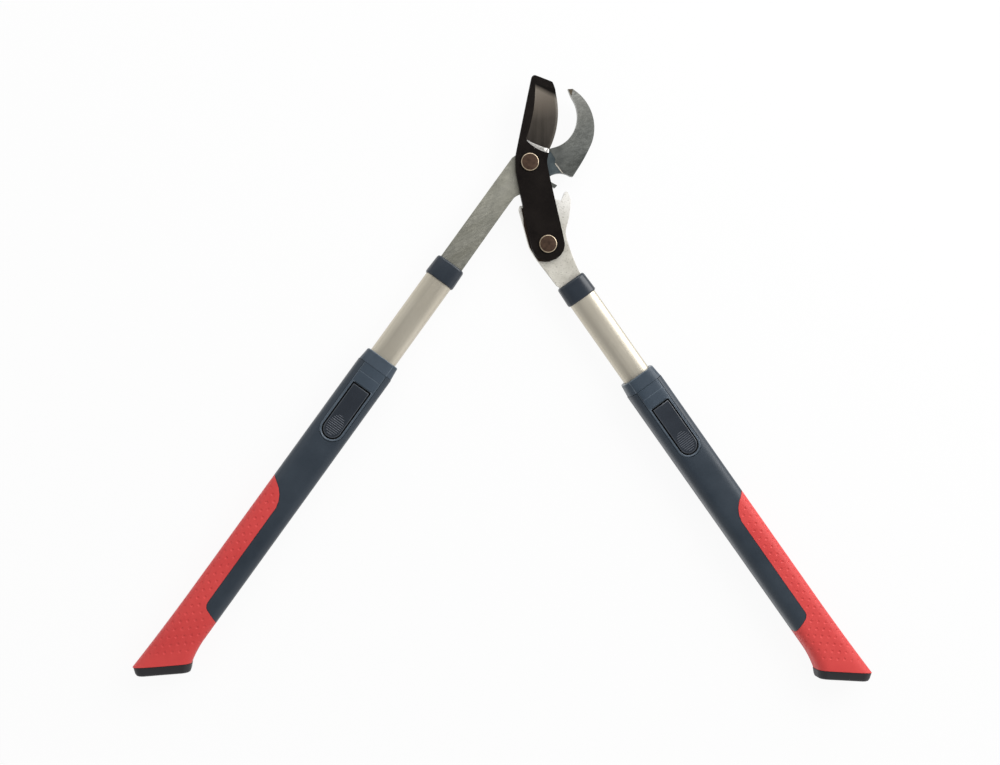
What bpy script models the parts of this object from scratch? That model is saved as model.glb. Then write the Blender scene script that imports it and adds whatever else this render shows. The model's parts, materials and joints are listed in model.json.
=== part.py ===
"""Telescopic lopper with a geared bypass head, lying flat with its jaw part open.

The tool lies face up: X runs across it, Y points from the handles to the head and Z up.
A gear sector on the hook plate meshes with one on the right arm, and the blade plate carries both pivots.
"""

import math

import bmesh
import bpy
from mathutils import Matrix, Vector

MM = 0.001

# Fits
FIT_GAP = 0.3 * MM
SLIDING_GAP = 0.3 * MM
GEAR_BACKLASH = 1.0 * MM

# Pose in which the tool is drawn, measured from the line through the two pivots
HEAD_TILT = math.radians(12.6)
LEFT_ARM_ANGLE = math.radians(48.4)
RIGHT_ARM_ANGLE = math.radians(22.9)

# Gear sectors
GEAR_MODULE = 3.925 * MM
HOOK_GEAR_TEETH = 16
ARM_GEAR_TEETH = 24
PRESSURE_ANGLE = math.radians(20)
HOOK_TOOTH_RISE = 2.5 * MM
HOOK_TOOTH_ROOT = 6.0 * MM
ARM_TOOTH_RISE = 3.7 * MM
ARM_TOOTH_ROOT = 3.9 * MM
HOOK_TEETH_AT = (-9.0, 13.5, 36.0)
ARM_TEETH_AT = (16.5, 1.5, -13.5)

TOOTH_FOOT = 0.4 * MM

# Plates of the head, with the points of their outlines measured from each plate's own pivot
ARM_THICKNESS = 6.0 * MM
ARM_WIDTH = 23.8 * MM

# Hook plate
THROAT_AT = 34.8 * MM
THROAT_RELIEF = 0.8 * MM
THROAT_FILLET = 9.0 * MM
HEEL_DEPTH = 0.7 * MM
RELIEF_DEPTH = 1.2 * MM
ARCH_START = (14.6 * MM, -17.2 * MM)
ARCH_END = (35.6 * MM, -20.8 * MM)
ARCH_RISE = 3.5 * MM
HOOK_LOWER_CORNER = (37.6 * MM, -21.4 * MM)
HOOK_LOWER_EDGE_END = (50.4 * MM, -8.8 * MM)
HOOK_BACK_START = (61.0 * MM, 4.0 * MM)
HOOK_BACK_END = (55.4 * MM, 59.2 * MM)
HOOK_BACK_CURVE = 10.4 * MM
HOOK_TIP = (51.2 * MM, 60.1 * MM)
JAW_START = (22.2 * MM, 8.8 * MM)
JAW_END = (52.4 * MM, 52.4 * MM)
JAW_CURVE = 15.2 * MM
HOOK_BOSS_RADIUS = 13.6 * MM
BOSS_TANGENT_AT = 6.0 * MM

# Right arm's plate: corners with their radii
HORN_SIDE = (
    ((20.3 * MM, -12.0 * MM), 25.0 * MM),
    ((18.6 * MM, 7.0 * MM), 16.0 * MM),
    ((25.8 * MM, 20.6 * MM), 8.0 * MM),
    ((31.6 * MM, 37.0 * MM), 14.0 * MM),
)
HORN_RISE = 7.6 * MM
HORN_ROUNDING = 1.6 * MM
LEFT_SIDE = (
    ((-19.2 * MM, 37.0 * MM), 1.5 * MM),
    ((-18.2 * MM, 20.0 * MM), 20.0 * MM),
    ((-17.3 * MM, 0.0 * MM), 12.0 * MM),
    ((-12.8 * MM, -12.0 * MM), 20.0 * MM),
)
LEFT_TIP_DEPTH = 2.8 * MM
SHOULDER_RISE = 4.0 * MM
SHOULDER_GAP = 0.5 * MM
SHOULDER_ROUNDING = 2.0 * MM

# Blade plate
BLADE_THICKNESS = 4.0 * MM
LINK_RADIUS = 16.0 * MM
BLADE_WAIST = (15.2 * MM, -3.6 * MM)
BLADE_WAIST_FILLET = 12.0 * MM
BLADE_HEEL = (20.9 * MM, 7.8 * MM)
BLADE_TIP = (38.3 * MM, 63.0 * MM)
BLADE_CURVE = 5.7 * MM
BLADE_BACK_SIDE = (
    ((37.4 * MM, 69.0 * MM), 2.4 * MM),
    ((20.2 * MM, 80.0 * MM), 3.2 * MM),
    ((-12.0 * MM, 8.4 * MM), 14.0 * MM),
    ((-14.9 * MM, -6.0 * MM), 20.0 * MM),
)
CUTTING_EDGE_THICKNESS = 0.7 * MM
GRIND_START = (0.9 * MM, 21.3 * MM)
GRIND_END = (20.9 * MM, 70.3 * MM)
GRIND_CURVE = 2.6 * MM
GRIND_WIDTH = 26.0 * MM
GRIND_PAST_EDGE = (
    (40.5 * MM, 56.0 * MM),
    (55.0 * MM, 50.0 * MM),
    (50.0 * MM, -5.0 * MM),
    (23.4 * MM, 4.2 * MM),
)

# Rear link plate
REAR_PLATE_THICKNESS = 3.0 * MM
REAR_PLATE_RADIUS = 14.0 * MM

# Pivots
PIVOT_PIN_RADIUS = 5.0 * MM
PIVOT_HEAD_RADIUS = 8.5 * MM
PIVOT_HEAD_HEIGHT = 1.6 * MM
PIVOT_TAIL_RADIUS = 7.2 * MM
PIVOT_TAIL_HEIGHT = 1.4 * MM
PIVOT_CHAMFER = 0.35 * MM
BUSH_WALL = 2.0 * MM
SPACER_RADIUS = 11.0 * MM
SPACER_THICKNESS = 0.8 * MM
WASHER_RADIUS = 9.0 * MM
WASHER_THICKNESS = 1.0 * MM

# Arms and the tubes on them
LEFT_ARM_REACH = 120.4 * MM
RIGHT_ARM_REACH = 40.5 * MM
LEFT_ARM_OFFSET = 3.7 * MM
RIGHT_ARM_OFFSET = 2.0 * MM
RIGHT_ARM_SWELL = 1.3 * MM
TANG_WIDTH = 19.6 * MM
TANG_LENGTH = 30.0 * MM
TANG_PIN_RADIUS = 2.0 * MM
TANG_PIN_FIRST = 8.5 * MM
TANG_PIN_PITCH = 7.5 * MM
INSERT_LENGTH = 33.0 * MM

# Inner tube and its collar
TUBE_WIDTH = 27.4 * MM
TUBE_DEPTH = 18.0 * MM
TUBE_WALL = 1.2 * MM
TUBE_CORNER = 7.6 * MM
TUBE_SHOWN = 89.0 * MM
TUBE_END_CLEARANCE = 11.8 * MM
COLLAR_LENGTH = 20.2 * MM
COLLAR_WALL = 1.4 * MM
COLLAR_TOP_WALL = 2.5 * MM
COLLAR_TAPER = 0.7 * MM
COLLAR_CHAMFER = 0.9 * MM
SLOT_CORNER = 0.5 * MM
END_PLUG_FLANGE = 4.0 * MM
END_PLUG_SPIGOT = 14.0 * MM

# Handle shell and the tube inside it
HANDLE_LENGTH = 331.8 * MM
HANDLE_SIDE_WALL = 2.8 * MM
HANDLE_FACE_WALL = 5.2 * MM
HANDLE_CORNER = 9.0 * MM
NECK_LENGTH = 12.4 * MM
NECK_STEP = 1.5 * MM
NECK_BRIDGE = 3.0 * MM
OUTER_TUBE_WALL = 1.2 * MM
SLEEVE_LENGTH = 14.0 * MM
END_CUT_ANGLE = math.radians(39.5)
INNER_FLARE = 4.0 * MM
INNER_FLARE_LENGTH = 27.0 * MM
OUTER_FLARE = 1.8 * MM
OUTER_FLARE_LENGTH = 90.0 * MM
FLARE_END = 1.2
OUTER_TUBE_END_GAP = 6.0 * MM

# Grip and end cap
GRIP_THICKNESS = 1.4 * MM
GRIP_TIP_FROM_MOUTH = 145.8 * MM
GRIP_TIP_SLANT = 5.0 * MM
GRIP_CURVE_LENGTH = 20.0 * MM
GRIP_CURVE_RADIUS = 14.0 * MM
GRIP_CURVE_SHARE = 0.45
GRIP_SLEEVE_LENGTH = 45.0 * MM
GRIP_SLEEVE_SLANT = 7.0 * MM
GRIP_EDGE_OFFSET = 0.5 * MM
CAP_THICKNESS = 8.6 * MM
CAP_INSET = 0.8 * MM
CAP_DRAFT = 1.2 * MM
CAP_ROUNDING = 3.0 * MM
CAP_CORNER_SHARE = 0.3
CAP_UNDERSIDE_SHARE = 0.85
CAP_PLUG_START = 0.6 * MM

# Lock
BUTTON_FROM_SHOULDER = 22.4 * MM
BUTTON_LENGTH = 54.0 * MM
BUTTON_WIDTH = 17.3 * MM
BUTTON_THICKNESS = 2.6 * MM
BUTTON_PROUD = 0.3 * MM
BUTTON_GAP = 0.8 * MM
PANEL_MARGIN = 2.7 * MM
HINGE_FROM_TOP = 30.0 * MM
HINGE_BELOW_BUTTON = 0.2 * MM
HINGE_PIN_RADIUS = 1.0 * MM
HINGE_BOSS_WALL = 0.8 * MM
HINGE_BOSS_SETBACK = 0.5 * MM
LOCK_PIN_FROM_TOP = 7.0 * MM
LOCK_PIN_RADIUS = 2.2 * MM
LOCK_PIN_REACH = 1.4 * MM
LOCK_PIN_COVER = 1.0 * MM
LOCK_HOLE_RADIUS = 3.0 * MM
LOCK_HOLE_PITCH = 40.0 * MM
LOCK_POSITIONS = 7
SPRING_STRIP = 0.4 * MM
SPRING_WIDTH = 6.0 * MM
SPRING_LENGTH = 16.0 * MM

# Facets
CORNER_STEPS = 5
BORE_SIDES = 24
PIN_SIDES = 16
FLARE_STEPS = 6
SPRING_STEPS = 8

# How far a cutter runs past what it cuts
OVERRUN = 4.0 * MM
BORE_OVERRUN = 1.0 * MM

# Sizes that follow from those above
HOOK_PITCH_RADIUS = GEAR_MODULE * HOOK_GEAR_TEETH / 2
ARM_PITCH_RADIUS = GEAR_MODULE * ARM_GEAR_TEETH / 2
PIVOT_SPACING = HOOK_PITCH_RADIUS + ARM_PITCH_RADIUS
BLADE_BACK = ARM_THICKNESS / 2 + FIT_GAP
BLADE_FRONT = BLADE_BACK + BLADE_THICKNESS
SPACER_FRONT = -ARM_THICKNESS / 2 - FIT_GAP
REAR_PLATE_FRONT = SPACER_FRONT - SPACER_THICKNESS - FIT_GAP
REAR_PLATE_BACK = REAR_PLATE_FRONT - REAR_PLATE_THICKNESS
WASHER_FRONT = REAR_PLATE_BACK - FIT_GAP
WASHER_BACK = WASHER_FRONT - WASHER_THICKNESS
PIVOT_BORE_RADIUS = PIVOT_PIN_RADIUS + FIT_GAP
BUSH_RADIUS = PIVOT_BORE_RADIUS + BUSH_WALL
BUSH_SEAT_RADIUS = BUSH_RADIUS + FIT_GAP

MOUTH_AT = COLLAR_LENGTH + TUBE_SHOWN
INNER_CORNER_AT = MOUTH_AT + HANDLE_LENGTH
TUBE_TOP_AT = COLLAR_TOP_WALL + FIT_GAP
TUBE_END_AT = INNER_CORNER_AT - TUBE_END_CLEARANCE
BORE_WIDTH = TUBE_WIDTH + 2 * SLIDING_GAP
BORE_DEPTH = TUBE_DEPTH + 2 * SLIDING_GAP
BORE_CORNER = TUBE_CORNER + SLIDING_GAP
OUTER_TUBE_WIDTH = BORE_WIDTH + 2 * OUTER_TUBE_WALL
OUTER_TUBE_DEPTH = BORE_DEPTH + 2 * OUTER_TUBE_WALL
OUTER_TUBE_CORNER = BORE_CORNER + OUTER_TUBE_WALL
SEAT_WIDTH = OUTER_TUBE_WIDTH + 2 * FIT_GAP
SEAT_DEPTH = OUTER_TUBE_DEPTH + 2 * FIT_GAP
SEAT_CORNER = OUTER_TUBE_CORNER + FIT_GAP
HANDLE_WIDTH = SEAT_WIDTH + 2 * HANDLE_SIDE_WALL
HANDLE_DEPTH = SEAT_DEPTH + 2 * HANDLE_FACE_WALL
MID_HEIGHT = HANDLE_DEPTH / 2
SHOULDER_AT = MOUTH_AT + NECK_LENGTH
SLEEVE_END_AT = SHOULDER_AT + SLEEVE_LENGTH
BUTTON_AT = SHOULDER_AT + BUTTON_FROM_SHOULDER
GRIP_TIP_AT = MOUTH_AT + GRIP_TIP_FROM_MOUTH
OUTER_CORNER_AT = INNER_CORNER_AT + math.tan(END_CUT_ANGLE) * HANDLE_WIDTH
OUTER_TUBE_END_AT = INNER_CORNER_AT - OUTER_TUBE_END_GAP
GRIP_SLEEVE_AT = INNER_CORNER_AT - GRIP_SLEEVE_LENGTH
PANEL_HALF_WIDTH = BUTTON_WIDTH / 2 + BUTTON_GAP + PANEL_MARGIN
PANEL_END_AT = BUTTON_AT + BUTTON_LENGTH + BUTTON_GAP + PANEL_MARGIN
HINGE_AT = BUTTON_AT + HINGE_FROM_TOP
HINGE_BELOW_FACE = BUTTON_THICKNESS + HINGE_BELOW_BUTTON
HINGE_HEIGHT = HANDLE_DEPTH / 2 + BUTTON_PROUD - HINGE_BELOW_FACE
LOCK_PIN_AT = BUTTON_AT + LOCK_PIN_FROM_TOP


def clear_scene():
    for old in list(bpy.data.objects):
        bpy.data.objects.remove(old, do_unlink=True)


def make_material(name, colour, roughness, metallic):
    material = bpy.data.materials.new(name)
    material.use_nodes = True
    shader = material.node_tree.nodes["Principled BSDF"]
    shader.inputs["Base Color"].default_value = (*colour, 1)
    shader.inputs["Roughness"].default_value = roughness
    shader.inputs["Metallic"].default_value = metallic
    return material


def make_empty(name, parent, location=(0, 0, 0), turn=0.0):
    empty = bpy.data.objects.new(name, None)
    empty.empty_display_size = 10 * MM
    bpy.context.collection.objects.link(empty)
    empty.parent = parent
    empty.location = location
    empty.rotation_euler = (0, 0, turn)
    return empty


def make_object(name, bm, parent, material, smooth_angle=30):
    """Give a finished bmesh its own object under its parent, shaded smooth between its sharp edges."""
    bmesh.ops.recalc_face_normals(bm, faces=bm.faces)
    mesh = bpy.data.meshes.new(name)
    bm.to_mesh(mesh)
    bm.free()
    mesh.shade_smooth()
    mesh.set_sharp_from_angle(angle=math.radians(smooth_angle))
    obj = bpy.data.objects.new(name, mesh)
    bpy.context.collection.objects.link(obj)
    obj.parent = parent
    if material:
        mesh.materials.append(material)
    return obj


def cut(obj, cutter, operation="DIFFERENCE"):
    """Boolean the object with a hidden cutter that keeps its own place under the same parent."""
    cutter.hide_render = True
    cutter.display_type = "WIRE"
    modifier = obj.modifiers.new(cutter.name, "BOOLEAN")
    modifier.operation = operation
    modifier.object = cutter
    modifier.solver = "EXACT"


def arc_points(centre, radius, start, end, steps):
    """Points on an arc, with both angles in radians from +X."""
    angles = [start + (end - start) * i / steps for i in range(steps + 1)]
    return [Vector((centre[0] + radius * math.cos(a), centre[1] + radius * math.sin(a))) for a in angles]


def bow_points(start, end, bulge, steps):
    """An arc from start to end, bulging to the right of its chord, or to the left if bulge is negative."""
    start, end = Vector(start), Vector(end)
    chord = end - start
    right = Vector((chord.y, -chord.x)).normalized()
    half = chord.length / 2
    radius = (half * half + bulge * bulge) / (2 * bulge)
    centre = (start + end) / 2 + right * (bulge - radius)
    first = math.atan2(start.y - centre.y, start.x - centre.x)
    turn = math.remainder(math.atan2(end.y - centre.y, end.x - centre.x) - first, math.tau)
    return arc_points(centre, abs(radius), first, first + turn, steps)


def flat(points):
    """Named points of an outline as vectors."""
    return [Vector(point) for point in points]


def polar(radius, degrees):
    """A point at a radius from a gear's centre, with its angle from +X."""
    angle = math.radians(degrees)
    return Vector((radius * math.cos(angle), radius * math.sin(angle)))


def rounded_path(start, corners, end):
    """The corners between two points, each a point and its radius, with round turns."""
    places = [start] + flat(point for point, radius in corners) + [end]
    path = []
    for i, (point, radius) in enumerate(corners):
        path += corner_points(places[i], places[i + 1], places[i + 2], radius)
    return path


def corner_points(before, here, after, radius):
    """Round one corner, with a point about every 20 degrees."""
    to_before = (before - here).normalized()
    to_after = (after - here).normalized()
    half_angle = to_before.angle(to_after) / 2
    if radius == 0 or half_angle > math.radians(89):
        return [here]
    reach = radius / math.tan(half_angle)
    reach = min(reach, (before - here).length * 0.98, (after - here).length * 0.98)
    radius = reach * math.tan(half_angle)
    centre = here + (to_before + to_after).normalized() * (radius / math.sin(half_angle))
    first = here + to_before * reach - centre
    turn = first.angle_signed(here + to_after * reach - centre)
    steps = max(1, round(abs(turn) / math.radians(20)))
    return [centre + Matrix.Rotation(-turn * i / steps, 2) @ first for i in range(steps + 1)]


def prism(outline, low, high):
    """A flat plate with the given outline between two heights."""
    bm = bmesh.new()
    face = bm.faces.new([bm.verts.new((p[0], p[1], low)) for p in outline])
    grown = bmesh.ops.extrude_face_region(bm, geom=[face])
    top = [v for v in grown["geom"] if isinstance(v, bmesh.types.BMVert)]
    bmesh.ops.translate(bm, verts=top, vec=(0, 0, high - low))
    return bm


def cylinder(radius, low, high, centre=(0, 0), sides=BORE_SIDES):
    """A plain round bar along Z."""
    bm = bmesh.new()
    place = Matrix.Translation((centre[0], centre[1], (low + high) / 2))
    bmesh.ops.create_cone(
        bm, cap_ends=True, segments=sides, radius1=radius, radius2=radius, depth=high - low, matrix=place
    )
    return bm


def cross_bar(radius, length, centre, sides=PIN_SIDES):
    """A plain round bar along X."""
    bm = bmesh.new()
    place = Matrix.Translation(centre) @ Matrix.Rotation(math.pi / 2, 4, "Y")
    bmesh.ops.create_cone(
        bm, cap_ends=True, segments=sides, radius1=radius, radius2=radius, depth=length, matrix=place
    )
    return bm


def section(outer_half, inner_half, depth, corner, steps=CORNER_STEPS):
    """A flat oval across the handle: outer side at +X, inner side at -X, with round corners."""
    points = []
    half_depth = depth / 2
    centres = (
        (outer_half - corner, half_depth - corner, 0),
        (corner - inner_half, half_depth - corner, 90),
        (corner - inner_half, corner - half_depth, 180),
        (outer_half - corner, corner - half_depth, 270),
    )
    for x, z, start in centres:
        first = math.radians(start)
        points += arc_points((x, z), corner, first, first + math.pi / 2, steps)
    return points


def loft(stations, side):
    """Skin sections along the handle: each station is its distance down the tube and its outline."""
    bm = bmesh.new()
    rings = []
    for at, outline in stations:
        rings.append([bm.verts.new((side * p[0], -at, p[1])) for p in outline])
    for upper, lower in zip(rings, rings[1:]):
        for i in range(len(upper)):
            j = (i + 1) % len(upper)
            bm.faces.new((upper[i], upper[j], lower[j], lower[i]))
    bm.faces.new(rings[0])
    bm.faces.new(list(reversed(rings[-1])))
    bmesh.ops.recalc_face_normals(bm, faces=bm.faces)
    return bm


def straight_bar(start, end, width, depth, corner, side=1):
    """A flat oval bar between two distances down the tube."""
    outline = section(width / 2, width / 2, depth, corner)
    return loft([(start, outline), (end, outline)], side)


def involute_turn(radius, base_radius):
    """How far an involute has turned at a radius, in radians."""
    if radius <= base_radius:
        return 0.0
    slope = math.sqrt((radius / base_radius) ** 2 - 1)
    return slope - math.atan(slope)


def tooth_points(pitch_radius, middle, rise, root):
    """One involute tooth from root to tip and back, anticlockwise about the gear's centre."""
    base_radius = pitch_radius * math.cos(PRESSURE_ANGLE)
    half_thickness = (math.pi * GEAR_MODULE / 2 - GEAR_BACKLASH) / 2
    half_at_base = half_thickness / pitch_radius + involute_turn(pitch_radius, base_radius)
    root_radius = pitch_radius - root
    tip_radius = pitch_radius + rise
    radii = sorted((root_radius, max(base_radius, root_radius + TOOTH_FOOT), pitch_radius, tip_radius))
    flank = [(r, half_at_base - involute_turn(r, base_radius)) for r in radii]
    rising = [(r, middle - half) for r, half in flank]
    falling = [(r, middle + half) for r, half in reversed(flank)]
    return [Vector((r * math.cos(a), r * math.sin(a))) for r, a in rising + falling]


def arm_direction(angle):
    """Unit vectors down the arm and out to its right, for an angle from the line of pivots."""
    down = Vector((math.sin(angle), -math.cos(angle)))
    return down, Vector((-down.y, down.x))


def tang_outline(angle, offset, reach):
    """The arm's end inside the tube, from its left corner round to its right one."""
    down, right = arm_direction(angle)
    shoulder = reach + COLLAR_TOP_WALL - FIT_GAP
    end = reach + TUBE_TOP_AT + TANG_LENGTH
    half_arm = ARM_WIDTH / 2
    half_tang = TANG_WIDTH / 2
    corners = (
        (shoulder, -half_arm),
        (shoulder, -half_tang),
        (end, -half_tang),
        (end, half_tang),
        (shoulder, half_tang),
        (shoulder, half_arm),
    )
    return [down * along + right * (offset + across) for along, across in corners]


def hook_outline():
    """Left arm, gear sector and hooked counter blade, anticlockwise about the upper pivot."""
    down, right = arm_direction(-LEFT_ARM_ANGLE)
    inner_edge = ARM_WIDTH / 2 - LEFT_ARM_OFFSET
    outer_edge = -ARM_WIDTH / 2 - LEFT_ARM_OFFSET
    root_radius = HOOK_PITCH_RADIUS - HOOK_TOOTH_ROOT
    throat = down * THROAT_AT + right * (inner_edge - THROAT_RELIEF)
    heel = polar(HOOK_PITCH_RADIUS - HEEL_DEPTH, -117.8)
    outline = tang_outline(-LEFT_ARM_ANGLE, -LEFT_ARM_OFFSET, LEFT_ARM_REACH)
    outline += corner_points(outline[-1], throat, heel, THROAT_FILLET)
    outline.append(heel)
    outline += arc_points((0, 0), root_radius, math.radians(-115), math.radians(-107), 2)
    for middle in HOOK_TEETH_AT:
        tooth = tooth_points(HOOK_PITCH_RADIUS, math.radians(middle - 90), HOOK_TOOTH_RISE, HOOK_TOOTH_ROOT)
        outline += tooth
    relieved_flank = len(tooth) // 2 - 1
    del outline[-relieved_flank:]
    outline.append(polar(root_radius - RELIEF_DEPTH, -55.8))

    outline += bow_points(ARCH_START, ARCH_END, -ARCH_RISE, 5)
    outline += flat((HOOK_LOWER_CORNER, HOOK_LOWER_EDGE_END))
    outline += bow_points(HOOK_BACK_START, HOOK_BACK_END, HOOK_BACK_CURVE, 9)
    outline.append(Vector(HOOK_TIP))
    outline += bow_points(JAW_START, JAW_END, JAW_CURVE, 10)[::-1]

    boss_end = math.atan2(right.y, right.x) + math.pi
    outline += arc_points((0, 0), HOOK_BOSS_RADIUS, math.radians(35), boss_end, 6)
    outline.append(right * outer_edge + down * BOSS_TANGENT_AT)
    return outline


def right_arm_outline():
    """Right arm and its toothed head, anticlockwise about the lower pivot."""
    down, right = arm_direction(RIGHT_ARM_ANGLE)
    outline = tang_outline(RIGHT_ARM_ANGLE, -RIGHT_ARM_OFFSET, RIGHT_ARM_REACH)
    collar_corner = down * (RIGHT_ARM_REACH - SHOULDER_RISE) + right * (ARM_WIDTH / 2 - RIGHT_ARM_OFFSET)
    outline.append(collar_corner)
    root_radius = ARM_PITCH_RADIUS - ARM_TOOTH_ROOT
    pocket = arc_points((0, 0), root_radius, math.radians(59.4), math.radians(66), 2)
    horn_tip = (polar(ARM_PITCH_RADIUS + HORN_RISE, 58.5), HORN_ROUNDING)
    outline += rounded_path(collar_corner, (*HORN_SIDE, horn_tip), pocket[0])
    outline += pocket
    for middle in ARM_TEETH_AT:
        outline += tooth_points(ARM_PITCH_RADIUS, math.radians(90 - middle), ARM_TOOTH_RISE, ARM_TOOTH_ROOT)
    gullet = arc_points((0, 0), root_radius, math.radians(109.6), math.radians(111.6), 1)
    edge = ARM_WIDTH / 2 + RIGHT_ARM_OFFSET
    arm_end = down * (RIGHT_ARM_REACH - SHOULDER_RISE) - right * (edge + RIGHT_ARM_SWELL)
    left_tip = (polar(ARM_PITCH_RADIUS - LEFT_TIP_DEPTH, 113.5), 0)
    outline += gullet
    outline += rounded_path(gullet[-1], (left_tip, *LEFT_SIDE), arm_end)
    shoulder = down * (RIGHT_ARM_REACH - SHOULDER_GAP) - right * edge
    outline += corner_points(outline[-1], arm_end, shoulder, SHOULDER_ROUNDING)
    outline.append(shoulder)
    return outline


def blade_outline():
    """Blade and link in one plate, anticlockwise, with its origin at the upper pivot."""
    foot = Vector((0, -PIVOT_SPACING))
    waist, heel, tip = flat((BLADE_WAIST, BLADE_HEEL, BLADE_TIP))
    outline = arc_points(foot, LINK_RADIUS, math.pi, math.tau, 10)
    outline += corner_points(outline[-1], waist, heel, BLADE_WAIST_FILLET)
    outline += bow_points(heel, tip, BLADE_CURVE, 9)
    outline += rounded_path(tip, BLADE_BACK_SIDE, foot - Vector((LINK_RADIUS, 0)))
    return outline


def grind_cutter():
    """The ground face of the blade: a slab that slopes from its inner line to the edge."""
    start, end = flat((GRIND_START, GRIND_END))
    outline = bow_points(start, end, GRIND_CURVE, 5) + flat(GRIND_PAST_EDGE)
    chord = (end - start).normalized()
    across = Vector((chord.y, -chord.x))
    slope = (BLADE_THICKNESS - CUTTING_EDGE_THICKNESS) / GRIND_WIDTH
    bm = bmesh.new()
    low = [bm.verts.new((p.x, p.y, BLADE_FRONT - slope * (p - start).dot(across))) for p in outline]
    high = [bm.verts.new((p.x, p.y, BLADE_FRONT + OVERRUN)) for p in outline]
    bm.faces.new(low)
    bm.faces.new(list(reversed(high)))
    for i in range(len(outline)):
        j = (i + 1) % len(outline)
        bm.faces.new((low[i], low[j], high[j], high[i]))
    return bm


def bore(obj, name, parent, radius, low, high, centre=(0, 0), sides=BORE_SIDES):
    """Cut a round hole along Z."""
    bar = cylinder(radius, low - BORE_OVERRUN, high + BORE_OVERRUN, centre, sides)
    cut(obj, make_object(name, bar, parent, None))


def build_plates(bodies, finish):
    lower = (0, -PIVOT_SPACING)
    half = ARM_THICKNESS / 2
    hook = make_object("hook_arm", prism(hook_outline(), -half, half), bodies["hook"], finish["ground_steel"])
    bore(hook, "cut_hook_pivot", bodies["hook"], BUSH_SEAT_RADIUS, -half, half)
    right = make_object(
        "right_arm", prism(right_arm_outline(), -half, half), bodies["right"], finish["cast_steel"]
    )
    bore(right, "cut_arm_pivot", bodies["right"], BUSH_SEAT_RADIUS, -half, half)

    blade_body = bodies["blade"]
    blade = make_object("blade", prism(blade_outline(), BLADE_BACK, BLADE_FRONT), blade_body, finish["black"])
    cut(blade, make_object("cut_blade_grind", grind_cutter(), blade_body, None))
    link_points = arc_points((0, 0), REAR_PLATE_RADIUS, 0, math.pi, 10)
    link_points += arc_points(lower, REAR_PLATE_RADIUS, math.pi, math.tau, 10)
    link = make_object(
        "rear_link_plate", prism(link_points, REAR_PLATE_BACK, REAR_PLATE_FRONT), blade_body, finish["black"]
    )
    for plate, low, high in ((blade, BLADE_BACK, BLADE_FRONT), (link, REAR_PLATE_BACK, REAR_PLATE_FRONT)):
        bore(plate, "cut_upper_" + plate.name, blade_body, PIVOT_BORE_RADIUS, low, high)
        bore(plate, "cut_lower_" + plate.name, blade_body, PIVOT_BORE_RADIUS, low, high, lower)
    for body, angle, offset, reach, plate in (
        (bodies["hook"], -LEFT_ARM_ANGLE, -LEFT_ARM_OFFSET, LEFT_ARM_REACH, hook),
        (bodies["right"], RIGHT_ARM_ANGLE, -RIGHT_ARM_OFFSET, RIGHT_ARM_REACH, right),
    ):
        down, across = arm_direction(angle)
        for i in range(2):
            at = down * (reach + TANG_PIN_FIRST + i * TANG_PIN_PITCH) + across * offset
            name = f"cut_{plate.name}_{i}"
            bore(plate, name, body, TANG_PIN_RADIUS + FIT_GAP, -half, half, at, PIN_SIDES)


def turned(profile, centre):
    """Spin a radius and height profile about Z."""
    bm = bmesh.new()
    ring = [bm.verts.new((centre[0] + r, centre[1], z)) for r, z in profile]
    edges = [bm.edges.new(pair) for pair in zip(ring, ring[1:])]
    axis = (centre[0], centre[1], 0)
    bmesh.ops.spin(
        bm, geom=ring + edges, cent=axis, axis=(0, 0, 1), angle=math.tau, steps=BORE_SIDES, use_merge=True
    )
    bmesh.ops.remove_doubles(bm, verts=bm.verts, dist=0.001 * MM)
    return bm


def ring_profile(inner, outer, low, high):
    """A closed rectangle to spin into a washer or a bush."""
    return [(inner, high), (outer, high), (outer, low), (inner, low), (inner, high)]


def build_pivot(name, centre, carrier, blade_body, finish):
    """Headed pin, bush, spacer and washer of one pivot, with its centre under each body's frame."""
    carrier_body, carrier_centre = carrier
    head_top = BLADE_FRONT + FIT_GAP + PIVOT_HEAD_HEIGHT
    tail_front = WASHER_BACK - FIT_GAP
    tail_back = tail_front - PIVOT_TAIL_HEIGHT
    profile = (
        (0, head_top),
        (PIVOT_HEAD_RADIUS - PIVOT_CHAMFER, head_top),
        (PIVOT_HEAD_RADIUS, head_top - PIVOT_CHAMFER),
        (PIVOT_HEAD_RADIUS, BLADE_FRONT + FIT_GAP),
        (PIVOT_PIN_RADIUS, BLADE_FRONT + FIT_GAP),
        (PIVOT_PIN_RADIUS, tail_front),
        (PIVOT_TAIL_RADIUS, tail_front),
        (PIVOT_TAIL_RADIUS, tail_back + PIVOT_CHAMFER),
        (PIVOT_TAIL_RADIUS - PIVOT_CHAMFER, tail_back),
        (0, tail_back),
    )
    make_object(f"{name}_pivot_pin", turned(profile, centre), blade_body, finish["rivet"])
    half = ARM_THICKNESS / 2
    bush = ring_profile(PIVOT_BORE_RADIUS, BUSH_RADIUS, -half, half)
    make_object(f"{name}_pivot_bush", turned(bush, carrier_centre), carrier_body, finish["bronze"])
    spacer = ring_profile(PIVOT_BORE_RADIUS, SPACER_RADIUS, SPACER_FRONT - SPACER_THICKNESS, SPACER_FRONT)
    make_object(f"{name}_spacer_ring", turned(spacer, centre), blade_body, finish["nylon"])
    washer = ring_profile(PIVOT_BORE_RADIUS, WASHER_RADIUS, WASHER_BACK, WASHER_FRONT)
    make_object(f"{name}_rear_washer", turned(washer, centre), blade_body, finish["bright_steel"])


def hollow(obj, name, parent, start, end, width, depth, corner):
    """Cut a flat oval bore along the tube axis."""
    cutter = make_object(name, straight_bar(start, end, width, depth, corner), parent, None)
    cut(obj, cutter)


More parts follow.
